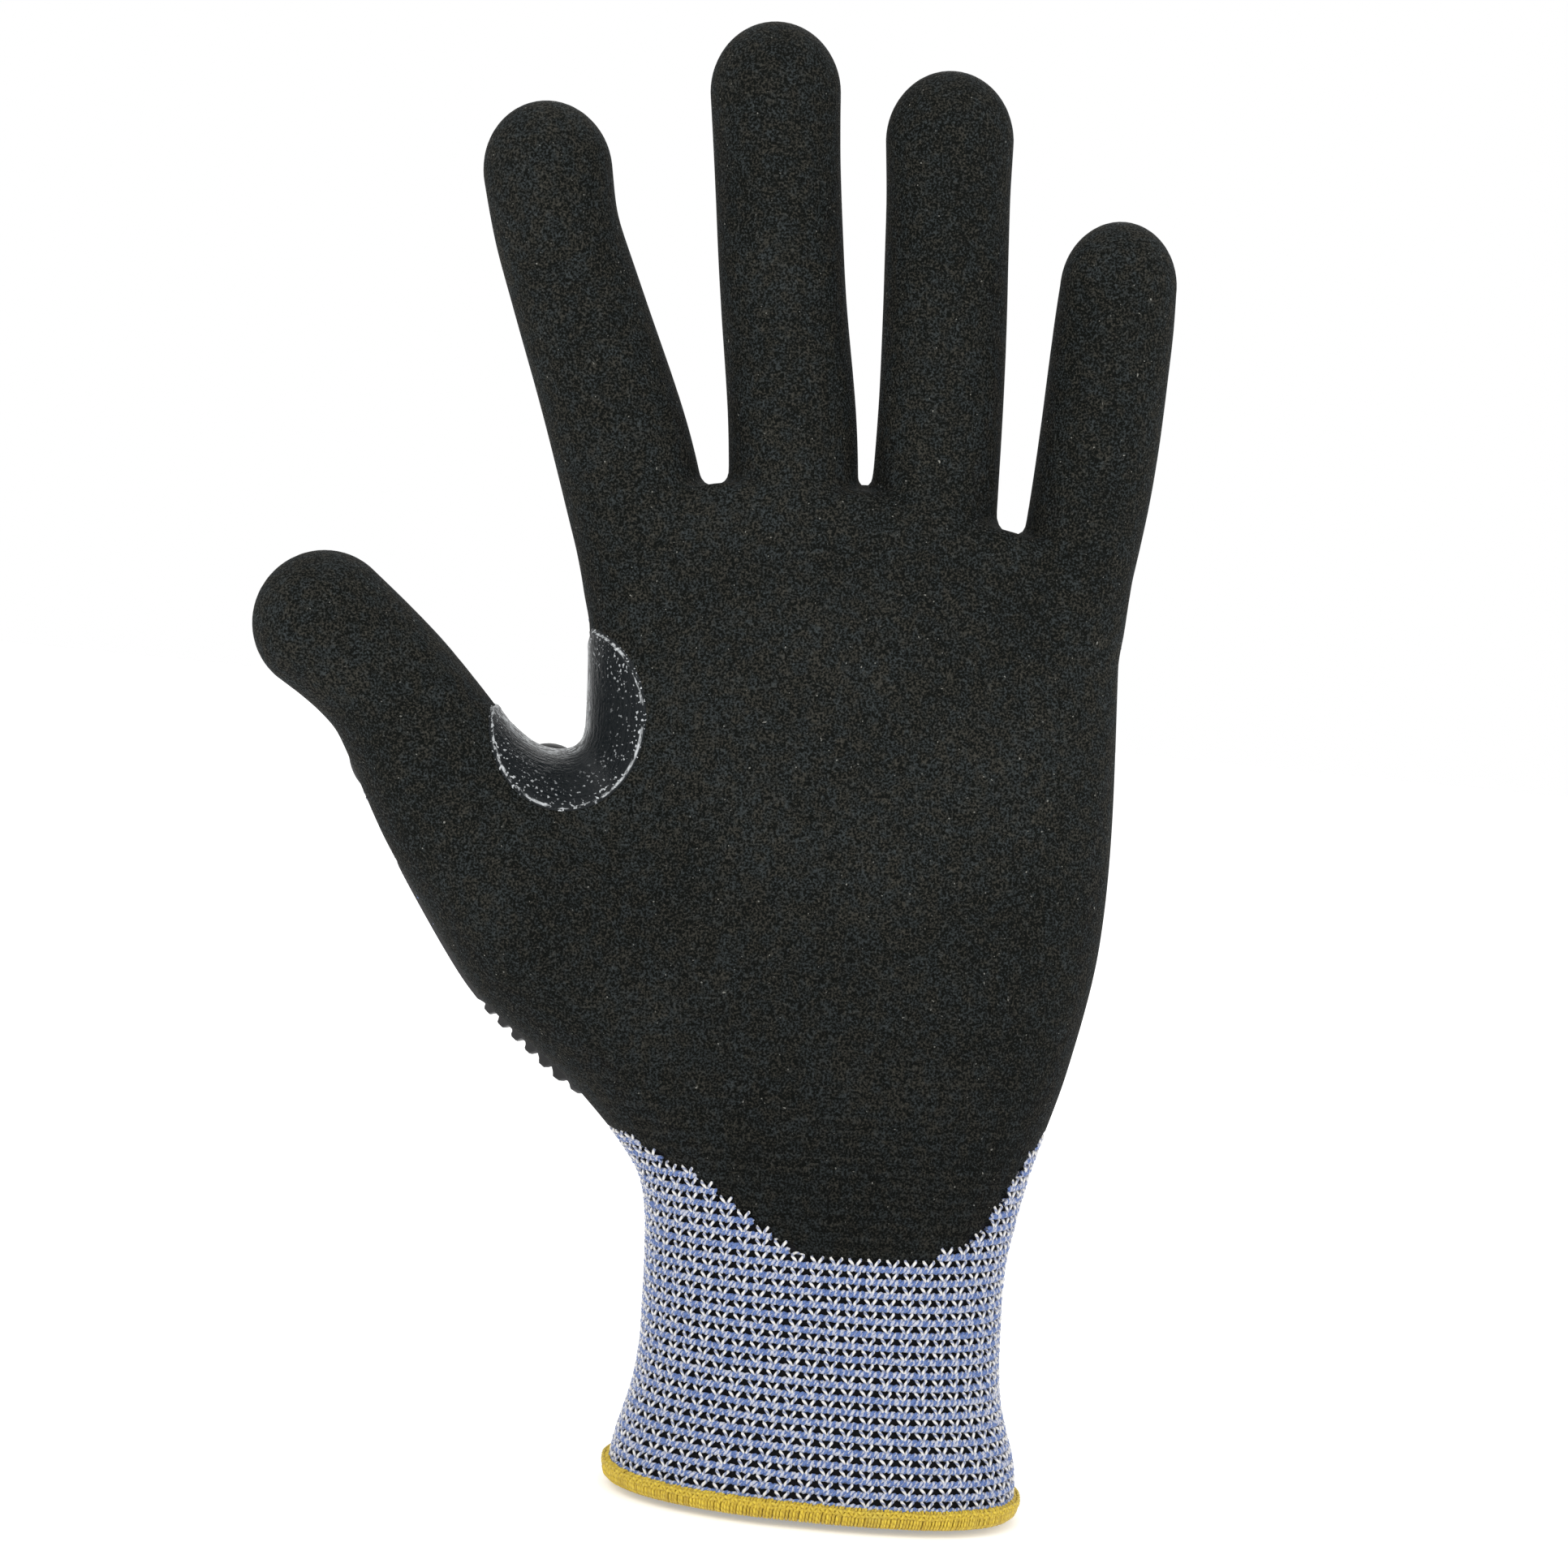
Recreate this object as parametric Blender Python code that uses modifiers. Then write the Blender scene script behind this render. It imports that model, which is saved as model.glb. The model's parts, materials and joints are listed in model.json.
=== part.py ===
"""Left-hand cut resistant work glove in its worn shape, standing on the hem of its cuff.

Millimetres in the constants, metres in the meshes. +Z runs from the cuff to the fingertips, the palm
faces -Y, the back of the hand +Y, and the thumb is on the -X side. The origin is under the hem.

The glove is a knitted liner with a nitrile coating on its palm side, a reinforcement in the thumb
crotch, moulded bumpers on the back and a bound hem. Each digit bends at its joints, so its liner,
coating and bumper are made in one length for each bone of the hand. Where two lengths meet, both
are cut back on the palm side by half of the joint's travel, which is where the fabric folds.
"""

import math

import bmesh
import bpy
from mathutils import Matrix, Vector

MM = 0.001
COLLECTION = "cut_resistant_glove"

# Thicknesses
LINER = 1.0
GAP = 0.3
COAT = 0.8
PATCH = 0.7
BUMPER = 2.4
ON_LINER = GAP
ON_COAT = GAP + COAT + GAP

# Wrist and cuff
HINGE_Z = 34.0
WRIST_TRAVEL = 35.0
CUFF_RINGS = (  # height, centre x, half width, half depth
    (1.4, -0.4, 31.4, 23.4),
    (5.0, -0.4, 30.8, 22.6),
    (11.0, -0.2, 29.4, 21.6),
    (18.0, 0.0, 28.8, 21.2),
    (HINGE_Z, 0.4, 28.2, 21.0),
)
CUFF_SIDES = 40
HEM_HEIGHT = 4.2
HEM_WALL = 1.1
FOLD_INSET = 0.4
FOLD_LEAST = 1.2

# Hand: height, centre x, centre y, half width, half depth of the liner's outside
PALM_RINGS = (
    (24.0, 0.0, 0.0, 28.6, 21.4),
    (34.0, 0.4, 0.0, 28.2, 21.0),
    (44.0, 0.8, 0.0, 29.3, 20.2),
    (56.0, 0.8, 0.2, 32.2, 19.2),
    (70.0, 0.0, 0.5, 37.2, 17.8),
    (90.0, -0.3, 0.5, 40.4, 16.4),
    (115.0, -0.1, 0.5, 40.6, 15.2),
    (138.0, -0.3, 0.5, 41.0, 13.2),
    (151.0, -0.4, 0.2, 43.2, 11.2),
    (166.0, -1.0, 0.0, 45.0, 9.8),
)
PALM_SIDES = 36
PALM_POWER = 2.4
THENAR_RINGS = (  # centre, half width, half depth
    ((-15.0, -2.0, 59.0), 14.0, 13.0),
    ((-40.0, -4.5, 84.5), 15.2, 14.4),
    ((-63.1, -5.0, 108.6), 13.5, 11.8),
    ((-69.0, -6.0, 117.0), 13.0, 11.2),
)
THENAR_SIDES = 24
END_REACH = 3.0
COAT_BACK_Y = 3.0
COAT_EDGE = (  # lower edge of the palm coating, x and z
    (-60.0, 60.0),
    (-32.6, 56.4),
    (-20.7, 50.5),
    (-11.3, 43.9),
    (1.9, 38.5),
    (16.0, 39.2),
    (24.0, 44.4),
    (33.0, 57.8),
    (60.0, 68.0),
)
PATCH_CENTRE = (-46.5, 117.5)
PATCH_RADII = (11.5, 12.5)

# Digits: joint centres from the base to the tip, with the full width and depth there
SIDES = 16
SECTION_POWER = 2.15
HINGE_INSET = 4.6
MCP_TRAVEL = 75.0
PIP_TRAVEL = 75.0
DIP_TRAVEL = 45.0
THUMB_TRAVEL = (30.0, 60.0)
DIGITS = {
    "index": {
        "centres": ((-34.5, 0.0, 155.4), (-43.0, -1.0, 177.5), (-49.5, -2.5, 198.0), (-53.0, -4.5, 218.6)),
        "widths": (21.0, 21.6, 20.6, 19.6),
        "depths": (21.0, 20.0, 18.6, 17.0),
        "reach": (-60.0, -22.6),
    },
    "middle": {
        "centres": ((-10.9, 0.0, 159.2), (-13.4, -1.0, 183.5), (-15.8, -2.5, 207.5), (-17.5, -4.5, 232.8)),
        "widths": (20.4, 21.0, 20.6, 20.2),
        "depths": (21.0, 20.0, 18.6, 17.0),
        "reach": (-22.9, 0.3),
    },
    "ring": {
        "centres": ((11.0, 0.0, 157.0), (11.3, -1.0, 180.5), (11.1, -2.5, 203.5), (10.6, -4.5, 226.4)),
        "widths": (20.6, 20.6, 20.0, 19.6),
        "depths": (21.0, 19.6, 18.2, 17.0),
        "reach": (0.0, 23.2),
    },
    "little": {
        "centres": ((34.4, 0.0, 153.4), (36.8, -1.0, 171.0), (38.1, -2.0, 187.5), (38.2, -3.5, 204.4)),
        "widths": (19.8, 19.6, 19.4, 19.0),
        "depths": (20.4, 18.8, 17.6, 16.6),
        "reach": (22.9, 60.0),
    },
}
FINGER_BONES = ("proximal", "middle", "distal")
THUMB = {
    "centres": ((-63.1, -5.0, 108.6), (-75.2, -8.0, 126.0), (-88.6, -11.0, 145.4)),
    "widths": (29.2, 24.4, 20.6),
    "depths": (25.8, 22.4, 18.4),
    "twist": 25.0,
    "reach": (-18.0, 16.5),
}
THUMB_BONES = ("proximal", "distal")

# Bumpers on the back
DIGIT_BUMPER_ARC = (38.0, 142.0)
DIGIT_BUMPER_SPAN = (0.16, 0.84)
KNUCKLE_BAND = (129.0, 149.0)
KNUCKLE_HALF_WIDTH = 40.0
METACARPAL_BAND = (84.0, 124.0)
METACARPAL_HALF_WIDTHS = (19.0, 33.0)
BUMPER_FRONT_Y = 4.0
EDGE_BUMPER = (  # outline of the bumper along the thumb side, x and z
    (-86.0, 92.0),
    (-60.0, 60.0),
    (-38.0, 66.0),
    (-47.0, 80.0),
    (-60.0, 94.0),
    (-66.0, 101.0),
    (-76.0, 112.0),
)

FABRIC_BLACK = (0.018, 0.018, 0.019)
COLOURS = {  # colour, roughness
    "knit": ((0.16, 0.22, 0.40), 0.9),
    "nitrile": (FABRIC_BLACK, 0.62),
    "patch": ((0.012, 0.012, 0.012), 0.25),
    "rubber": ((0.022, 0.022, 0.023), 0.5),
    "hem": ((0.75, 0.52, 0.06), 0.85),
}


def clear_scene():
    """Removes every object, so that the scene holds only the glove."""
    for thing in list(bpy.data.objects):
        bpy.data.objects.remove(thing, do_unlink=True)


def make_collection(name):
    """Adds a collection to the scene."""
    found = bpy.data.collections.new(name)
    bpy.context.scene.collection.children.link(found)
    return found


def make_material(name, kind):
    """A Principled material of one of the kinds in COLOURS."""
    colour, roughness = COLOURS[kind]
    made = bpy.data.materials.new(name)
    made.use_nodes = True
    shader = made.node_tree.nodes["Principled BSDF"]
    shader.inputs["Base Color"].default_value = (*colour, 1.0)
    shader.inputs["Roughness"].default_value = roughness
    shader.inputs["Metallic"].default_value = 0.0
    return made


def make_object(name, rows, wrap, collection, caps=(False, False)):
    """An object whose faces join rows of points in mm. A cap closes the first or the last row."""
    mesh = bmesh.new()
    grid = [[mesh.verts.new(Vector(p) * MM) for p in row] for row in rows]
    for low, high in zip(grid, grid[1:]):
        count = len(low)
        for i in range(count if wrap else count - 1):
            j = (i + 1) % count
            mesh.faces.new((low[i], low[j], high[j], high[i]))
    if caps[0]:
        mesh.faces.new(list(reversed(grid[0])))
    if caps[1]:
        mesh.faces.new(grid[-1])
    data = bpy.data.meshes.new(name)
    mesh.to_mesh(data)
    mesh.free()
    made = bpy.data.objects.new(name, data)
    collection.objects.link(made)
    return made


def settle(thing):
    """Splits an object's faces into triangles that face out, ready for an exact boolean."""
    shape = bmesh.new()
    shape.from_mesh(thing.data)
    bmesh.ops.triangulate(shape, faces=shape.faces)
    bmesh.ops.recalc_face_normals(shape, faces=shape.faces)
    shape.to_mesh(thing.data)
    shape.free()
    return thing


def thicken(thing, thickness, outward):
    """Gives an open surface its wall, away from or into the shape that it follows."""
    wall = thing.modifiers.new("wall", "SOLIDIFY")
    wall.thickness = thickness * MM
    wall.offset = 1.0 if outward else -1.0
    wall.use_even_offset = False


def finish(thing, kind):
    """Shades a part smooth up to its edges and gives it its material."""
    thing.data.materials.clear()
    thing.data.materials.append(make_material(thing.name, kind))
    thing.data.shade_smooth()
    thing.data.set_sharp_from_angle(angle=math.radians(40.0))


def set_origin(thing, point):
    """Moves an object's origin to a point in mm and leaves its shape where it is."""
    place = Vector(point) * MM
    thing.data.transform(Matrix.Translation(-place))
    thing.location = place


def rounded(angle, power):
    """A point on a unit superellipse."""
    c, s = math.cos(angle), math.sin(angle)
    return (
        math.copysign(abs(c) ** (2.0 / power), c),
        math.copysign(abs(s) ** (2.0 / power), s),
    )


def ring_angles(count):
    """Angles evenly round a whole ring."""
    return [2.0 * math.pi * i / count for i in range(count)]


# --- Digits -----------------------------------------------------------------------------------


def across(direction, twist):
    """The hinge direction across a digit that points along direction."""
    flat = Vector((direction.z, 0.0, -direction.x)).normalized()
    return Matrix.Rotation(math.radians(twist), 3, direction) @ flat


def digit_joints(digit, travels, first_direction):
    """Each joint's centre, direction along the digit, hinge direction, palm direction and travel."""
    centres = [Vector(c) for c in digit["centres"]]
    twist = digit.get("twist", 0.0)
    found = []
    for i, travel in enumerate(travels):
        after = (centres[i + 1] - centres[i]).normalized()
        before = (centres[i] - centres[i - 1]).normalized() if i else None
        along = (before + after).normalized() if i else first_direction
        hinge = across(along, twist)
        found.append(
            {
                "centre": centres[i],
                "along": along,
                "hinge": hinge,
                "palm": hinge.cross(along),
                "inset": digit["depths"][i] / 2.0 - HINGE_INSET,
                "travel": travel,
            }
        )
    return found


def hinge_point(joint):
    """Where a joint's axis runs, inside the palm side of the digit."""
    return joint["centre"] + joint["palm"] * joint["inset"]


def cut_back(joint, depth):
    """How far an end stands back from its joint, at a depth towards the palm.

    The coating's own thickness is added to the depth, so that its outside clears too."""
    fold = math.tan(math.radians(joint["travel"] / 2.0))
    return GAP + max(0.0, depth + COAT - joint["inset"]) * fold


def end_distance(joint, side, start, along, spread):
    """How far along its axis a line of a digit's wall meets the cut at a joint.

    side is 1 for the length after the joint and -1 for the one before it."""
    depth = spread.dot(joint["palm"])
    wanted = side * cut_back(joint, depth)
    offset = (start + spread - joint["centre"]).dot(joint["along"])
    return (wanted - offset) / along.dot(joint["along"])


def bone_rows(digit, joints, bone, grow, angles, span=(0.0, 1.0)):
    """Rows of points for one length of a digit, grown by a distance from the liner's outside."""
    start = Vector(digit["centres"][bone])
    stop = Vector(digit["centres"][bone + 1])
    along = (stop - start).normalized()
    length = (stop - start).length
    hinge = across(along, digit.get("twist", 0.0))
    palm = hinge.cross(along)
    is_tip = bone == len(joints) - 1
    skin = GAP + COAT

    def half(values, fraction):
        value = values[bone] + (values[bone + 1] - values[bone]) * fraction
        return value / 2.0 - skin + grow

    def spread_at(fraction, angle, scale=1.0):
        across_part, back_part = rounded(angle, SECTION_POWER)
        return (
            hinge * (across_part * half(digit["widths"], fraction) * scale)
            - palm * (back_part * half(digit["depths"], fraction) * scale)
        )

    dome = digit["widths"][bone + 1] * 0.5
    rows = []
    for step in (0.0, 0.5, 1.0):
        fraction = span[0] + (span[1] - span[0]) * step
        row = []
        for angle in angles:
            spread = spread_at(fraction, angle)
            low = end_distance(joints[bone], 1, start, along, spread)
            if is_tip:
                high = length - skin - dome
            else:
                high = end_distance(joints[bone + 1], -1, start, along, spread)
            row.append(start + spread + along * (low + (high - low) * fraction))
        rows.append(row)
    if is_tip and span[1] == 1.0:
        for turn in (25.0, 50.0, 72.0, 86.0):
            rise, scale = math.sin(math.radians(turn)), math.cos(math.radians(turn))
            reach = length - skin - dome + (dome + grow) * rise
            rows.append([start + spread_at(1.0, a, scale ** 0.85) + along * reach for a in angles])
    return rows, is_tip


def make_digit(name, digit, joints, bones, body, collection):
    """The liner, coating and bumper of each length of one digit."""
    palm_arc = [math.radians(170.0 + 200.0 * i / 12.0) for i in range(13)]
    low, high = DIGIT_BUMPER_ARC
    back_arc = [math.radians(low + (high - low) * i / 6.0) for i in range(7)]
    full = ring_angles(SIDES)
    for bone, bone_name in enumerate(bones):
        origin = hinge_point(joints[bone])
        rows, is_tip = bone_rows(digit, joints, bone, 0.0, full)
        liner = make_object(f"{name}_{bone_name}_liner", rows, True, collection, (False, is_tip))
        thicken(liner, LINER, False)
        finish(liner, "knit")
        rows, _ = bone_rows(digit, joints, bone, GAP, full if is_tip else palm_arc)
        coat = make_object(f"{name}_{bone_name}_coating", rows, is_tip, collection, (False, is_tip))
        thicken(coat, COAT, True)
        finish(coat, "nitrile")
        grow = ON_COAT if is_tip else ON_LINER
        rows, _ = bone_rows(digit, joints, bone, grow, back_arc, DIGIT_BUMPER_SPAN)
        bumper = make_object(f"{name}_{bone_name}_bumper", rows, False, collection)
        thicken(bumper, BUMPER, True)
        finish(bumper, "rubber")
        for thing in (liner, coat, bumper):
            set_origin(thing, origin)
            thing["body"] = f"{body}_{bone_name}"


# --- Hand -------------------------------------------------------------------------------------


def palm_solid(grow, collection):
    """The closed outer form of the palm, grown by a distance, without the thumb's root."""
    rows = []
    for i, (z, x, y, half_width, half_depth) in enumerate(PALM_RINGS):
        reach = END_REACH - grow * 0.4
        z += reach * ((i == len(PALM_RINGS) - 1) - (i == 0))
        row = []
        for angle in ring_angles(PALM_SIDES):
            a, b = rounded(angle, PALM_POWER)
            row.append((x + a * (half_width + grow), y + b * (half_depth + grow), z))
        rows.append(row)
    return settle(make_object("palm_form", rows, True, collection, (True, True)))


def thenar_solid(grow, thumb_joint, collection):
    """The closed outer form of the thumb's root, grown by a distance."""
    rows = []
    along, hinge, palm = thumb_joint["along"], thumb_joint["hinge"], thumb_joint["palm"]
    for i, (centre, half_width, half_depth) in enumerate(THENAR_RINGS):
        middle = Vector(centre)
        if i == len(THENAR_RINGS) - 1:
            middle += along * (END_REACH - grow * 0.4)
        row = []
        for angle in ring_angles(THENAR_SIDES):
            a, b = rounded(angle, SECTION_POWER)
            row.append(middle + hinge * (a * (half_width + grow)) - palm * (b * (half_depth + grow)))
        rows.append(row)
    return settle(make_object("thenar_form", rows, True, collection, (True, True)))


def prism(name, outline, place, low, high, collection):
    """A closed cutter: an outline in a plane, swept from low to high along the place's Z."""
    rows = []
    for distance in (low, high):
        rows.append([place @ Vector((x, y, distance)) for x, y in outline])
    return settle(make_object(name, rows, True, collection, (True, True)))


def frame_matrix(x_axis, y_axis, z_axis, centre):
    """A placement from three directions and a centre."""
    return Matrix(
        [
            [x_axis[k], y_axis[k], z_axis[k], centre[k]]
            for k in range(3)
        ]
        + [[0.0, 0.0, 0.0, 1.0]]
    )


def combine(thing, other, operation):
    """Applies an exact boolean of another object to an object and removes the other."""
    cut = thing.modifiers.new(operation.lower(), "BOOLEAN")
    cut.operation = operation
    cut.solver = "EXACT"
    cut.object = other
    bpy.context.view_layer.update()
    shaped = thing.evaluated_get(bpy.context.evaluated_depsgraph_get())
    mesh = bpy.data.meshes.new_from_object(shaped)
    thing.modifiers.clear()
    thing.data = mesh
    bpy.data.objects.remove(other, do_unlink=True)


def joint_cutter(joint, reach, rise, collection):
    """The room that a digit needs at its base, cut out of the hand."""
    fold = math.tan(math.radians(joint["travel"] / 2.0))
    far = 30.0
    drop = (far - joint["inset"]) * fold
    outline = (
        (joint["inset"], -GAP),
        (far, -GAP - drop),
        (far, rise),
        (-far, rise),
        (-far, -GAP),
    )
    place = frame_matrix(joint["palm"], joint["along"], joint["hinge"], joint["centre"])
    return prism("joint_cutter", outline, place, reach[0], reach[1], collection)


def wrist_cutter(collection):
    """The room that the cuff needs below the hand, open to the palm and to the back."""
    far = 60.0
    rise = far * math.tan(math.radians(WRIST_TRAVEL / 2.0))
    low = HINGE_Z + GAP
    outline = ((0.0, low), (far, low + rise), (far, -40.0), (-far, -40.0), (-far, low + rise))
    place = frame_matrix(Vector((0, 1, 0)), Vector((0, 0, 1)), Vector((1, 0, 0)), Vector())
    return prism("wrist_cutter", outline, place, -90.0, 90.0, collection)


def hand_layer(name, inner, outer, joints, keep, collection, cutters):
    """One layer over the hand between two distances from the liner's outside.

    keep is an outline in x and z with the lowest and highest y that the layer covers."""
    thumb_joint = joints["thumb"]
    layer = palm_solid(outer, collection)
    layer.name = name
    combine(layer, thenar_solid(outer, thumb_joint, cutters), "UNION")
    if keep:
        outline, low_y, high_y = keep
        place = frame_matrix(Vector((1, 0, 0)), Vector((0, 0, 1)), Vector((0, 1, 0)), Vector())
        combine(layer, prism("keep", outline, place, low_y, high_y, cutters), "INTERSECT")
    hollow = palm_solid(inner, cutters)
    combine(hollow, thenar_solid(inner, thumb_joint, cutters), "UNION")
    combine(layer, hollow, "DIFFERENCE")
    combine(layer, wrist_cutter(cutters), "DIFFERENCE")
    for digit_name, joint in joints.items():
        digit = THUMB if digit_name == "thumb" else DIGITS[digit_name]
        low, high = digit["reach"]
        if digit_name == "thumb":
            reach = (low, high)
        else:
            reach = (low - joint["centre"].x, high - joint["centre"].x)
        combine(layer, joint_cutter(joint, reach, 22.0, cutters), "DIFFERENCE")
    set_origin(layer, (0.0, 0.0, HINGE_Z))
    layer["body"] = "hand"
    return layer


def band_outline(band, low_half_width, high_half_width, waves, depth):
    """An outline across the back of the hand, with a lobed lower and upper edge."""
    steps = 24
    points = []
    for edge, half_width, sign in ((band[0], low_half_width, 1.0), (band[1], high_half_width, -1.0)):
        row = []
        for i in range(steps + 1):
            f = i / steps
            swell = depth * abs(math.sin(math.pi * waves * f)) ** 0.7
            row.append(((2.0 * f - 1.0) * half_width, edge + sign * (depth - swell)))
        points += row if sign > 0 else list(reversed(row))
    return points


def patch_outline():
    """The rounded outline of the reinforcement over the thumb crotch."""
    x, z = PATCH_CENTRE
    return [
        (x + PATCH_RADII[0] * math.cos(a), z + PATCH_RADII[1] * math.sin(a))
        for a in ring_angles(24)
    ]


def make_hand(joints, collection, cutters):
    """The hand's liner, coating, crotch reinforcement and bumpers."""
    liner = hand_layer("hand_liner", -LINER, 0.0, joints, None, collection, cutters)
    finish(liner, "knit")
    top = 175.0
    coat_outline = list(COAT_EDGE) + [(60.0, top), (-95.0, top), (-95.0, 60.0)]
    keep = (coat_outline, -60.0, COAT_BACK_Y)
    coat = hand_layer("palm_coating", GAP, GAP + COAT, joints, keep, collection, cutters)
    finish(coat, "nitrile")
    keep = (patch_outline(), -60.0, COAT_BACK_Y)
    patch = hand_layer("thumb_crotch_patch", ON_COAT, ON_COAT + PATCH, joints, keep, collection, cutters)
    finish(patch, "patch")
    outlines = {
        "knuckle_bumper": band_outline(KNUCKLE_BAND, KNUCKLE_HALF_WIDTH - 2.0, KNUCKLE_HALF_WIDTH, 4, 4.0),
        "metacarpal_bumper": band_outline(METACARPAL_BAND, *METACARPAL_HALF_WIDTHS, 3, 3.0),
        "thumb_edge_bumper": list(EDGE_BUMPER),
    }
    for name, outline in outlines.items():
        keep = (outline, BUMPER_FRONT_Y, 60.0)
        bumper = hand_layer(name, ON_LINER, ON_LINER + BUMPER, joints, keep, collection, cutters)
        finish(bumper, "rubber")


# --- Cuff -------------------------------------------------------------------------------------


def cuff_section(height):
    """The cuff's centre x, half width and half depth at a height."""
    for low, high in zip(CUFF_RINGS, CUFF_RINGS[1:]):
        if height <= high[0]:
            f = max(0.0, (height - low[0]) / (high[0] - low[0]))
            return [a + (b - a) * f for a, b in zip(low[1:], high[1:])]
    return CUFF_RINGS[-1][1:]


def make_cuff(collection):
    """The knitted cuff, cut back at the wrist on the palm side and on the back."""
    fold = math.tan(math.radians(WRIST_TRAVEL / 2.0))
    rows = []
    for z, x, half_width, half_depth in CUFF_RINGS:
        row = []
        for angle in ring_angles(CUFF_SIDES):
            a, b = rounded(angle, PALM_POWER)
            y = b * half_depth
            height = z
            if z == HINGE_Z:
                height -= GAP + abs(y) * fold
            row.append((x + a * half_width, y, height))
        rows.append(row)
    cuff = make_object("cuff_liner", rows, True, collection)
    thicken(cuff, LINER, False)
    finish(cuff, "knit")
    cuff["body"] = "cuff"


def make_hem(collection):
    """The bound hem: a channel that holds the cuff's lower edge."""
    inner = -LINER - GAP - HEM_WALL
    outer = GAP + HEM_WALL
    section = (
        (outer, 0.0),
        (outer, HEM_HEIGHT),
        (GAP, HEM_HEIGHT),
        (GAP, 1.0),
        (-LINER - GAP, 1.0),
        (-LINER - GAP, HEM_HEIGHT - 0.6),
        (inner, HEM_HEIGHT - 0.6),
        (inner, 0.0),
    )
    rows = []
    for grow, z in section + section[:1]:
        x, half_width, half_depth = cuff_section(z)
        row = []
        for angle in ring_angles(CUFF_SIDES):
            a, b = rounded(angle, PALM_POWER)
            row.append((x + a * (half_width + grow), b * (half_depth + grow), z))
        rows.append(row)
    hem = make_object("hem_binding", rows, True, collection)
    shape = bmesh.new()
    shape.from_mesh(hem.data)
    bmesh.ops.remove_doubles(shape, verts=shape.verts, dist=0.00001)
    bmesh.ops.recalc_face_normals(shape, faces=shape.faces)
    shape.to_mesh(hem.data)
    shape.free()
    finish(hem, "hem")
    hem["body"] = "cuff"


def make_wrist_fold(name, side, collection):
    """The slack knit at the wrist, which folds or stretches as the hand tilts."""
    fold = math.tan(math.radians(WRIST_TRAVEL / 2.0))
    low, middle, high = [], [], []
    x, half_width, half_depth = CUFF_RINGS[-1][1:]
    for angle in ring_angles(CUFF_SIDES * 2):
        a, b = rounded(angle, PALM_POWER)
        y = b * half_depth
        room = abs(y) * fold - FOLD_INSET
        if b * side > 0.0 and room > FOLD_LEAST:
            low.append((x + a * half_width, y, HINGE_Z - room))
            middle.append((x + a * half_width, y, HINGE_Z))
            high.append((x + a * half_width, y, HINGE_Z + room))
    made = make_object(name, [low, middle, high], False, collection)
    thicken(made, LINER, False)
    finish(made, "knit")
    made["body"] = "cuff"


def main():
    """Builds the whole glove."""
    clear_scene()
    collection = make_collection(COLLECTION)
    cutters = make_collection("cutters")
    up = Vector((0.0, 0.0, 1.0))
    travels = (MCP_TRAVEL, PIP_TRAVEL, DIP_TRAVEL)
    bases = {}
    for name, digit in DIGITS.items():
        joints = digit_joints(digit, travels, up)
        bases[name] = joints[0]
        make_digit(name, digit, joints, FINGER_BONES, name, collection)
    root = (Vector(THUMB["centres"][1]) - Vector(THUMB["centres"][0])).normalized()
    joints = digit_joints(THUMB, THUMB_TRAVEL, root)
    bases["thumb"] = joints[0]
    make_digit("thumb", THUMB, joints, THUMB_BONES, "thumb", collection)
    make_hand(bases, collection, cutters)
    make_cuff(collection)
    make_hem(collection)
    make_wrist_fold("wrist_fold_palm", -1.0, collection)
    make_wrist_fold("wrist_fold_back", 1.0, collection)


main()
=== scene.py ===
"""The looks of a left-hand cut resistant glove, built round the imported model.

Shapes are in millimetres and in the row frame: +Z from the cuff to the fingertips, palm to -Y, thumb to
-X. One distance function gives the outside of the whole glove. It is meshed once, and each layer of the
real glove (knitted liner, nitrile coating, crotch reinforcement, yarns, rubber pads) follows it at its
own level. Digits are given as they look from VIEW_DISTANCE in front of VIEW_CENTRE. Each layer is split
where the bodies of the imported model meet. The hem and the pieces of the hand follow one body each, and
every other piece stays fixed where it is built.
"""

import json
import math

import bpy
import numpy as np
from mathutils import Matrix, Vector


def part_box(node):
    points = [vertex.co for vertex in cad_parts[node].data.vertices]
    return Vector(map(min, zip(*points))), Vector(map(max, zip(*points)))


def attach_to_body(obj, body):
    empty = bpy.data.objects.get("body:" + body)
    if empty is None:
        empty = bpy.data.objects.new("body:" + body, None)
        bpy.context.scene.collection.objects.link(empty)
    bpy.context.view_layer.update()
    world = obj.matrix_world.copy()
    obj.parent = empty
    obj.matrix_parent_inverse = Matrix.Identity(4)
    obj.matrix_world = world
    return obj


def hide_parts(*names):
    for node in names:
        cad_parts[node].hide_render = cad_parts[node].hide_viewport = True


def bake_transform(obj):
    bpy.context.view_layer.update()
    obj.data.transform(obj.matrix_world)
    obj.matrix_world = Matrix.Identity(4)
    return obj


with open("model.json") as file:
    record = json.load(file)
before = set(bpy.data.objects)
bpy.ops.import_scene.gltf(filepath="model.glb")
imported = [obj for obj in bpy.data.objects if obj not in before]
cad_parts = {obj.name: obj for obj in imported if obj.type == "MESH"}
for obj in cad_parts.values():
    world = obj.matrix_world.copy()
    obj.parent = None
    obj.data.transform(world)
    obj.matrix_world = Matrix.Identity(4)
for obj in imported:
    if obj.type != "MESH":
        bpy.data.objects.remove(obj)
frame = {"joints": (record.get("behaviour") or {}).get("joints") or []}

MM = 0.001
VIEW_CENTRE = np.array((-10.3, 0.0, 112.8))
VIEW_DISTANCE = 600.0
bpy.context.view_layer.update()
RANDOM = np.random.default_rng(7)


# ---------------------------------------------------------------- shape of the glove, in mm


def normalised(v):
    """Vectors scaled to length 1, apart from any that have next to no length."""
    return v / np.maximum(np.linalg.norm(v, axis=-1), 1e-9)[..., None]


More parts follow.
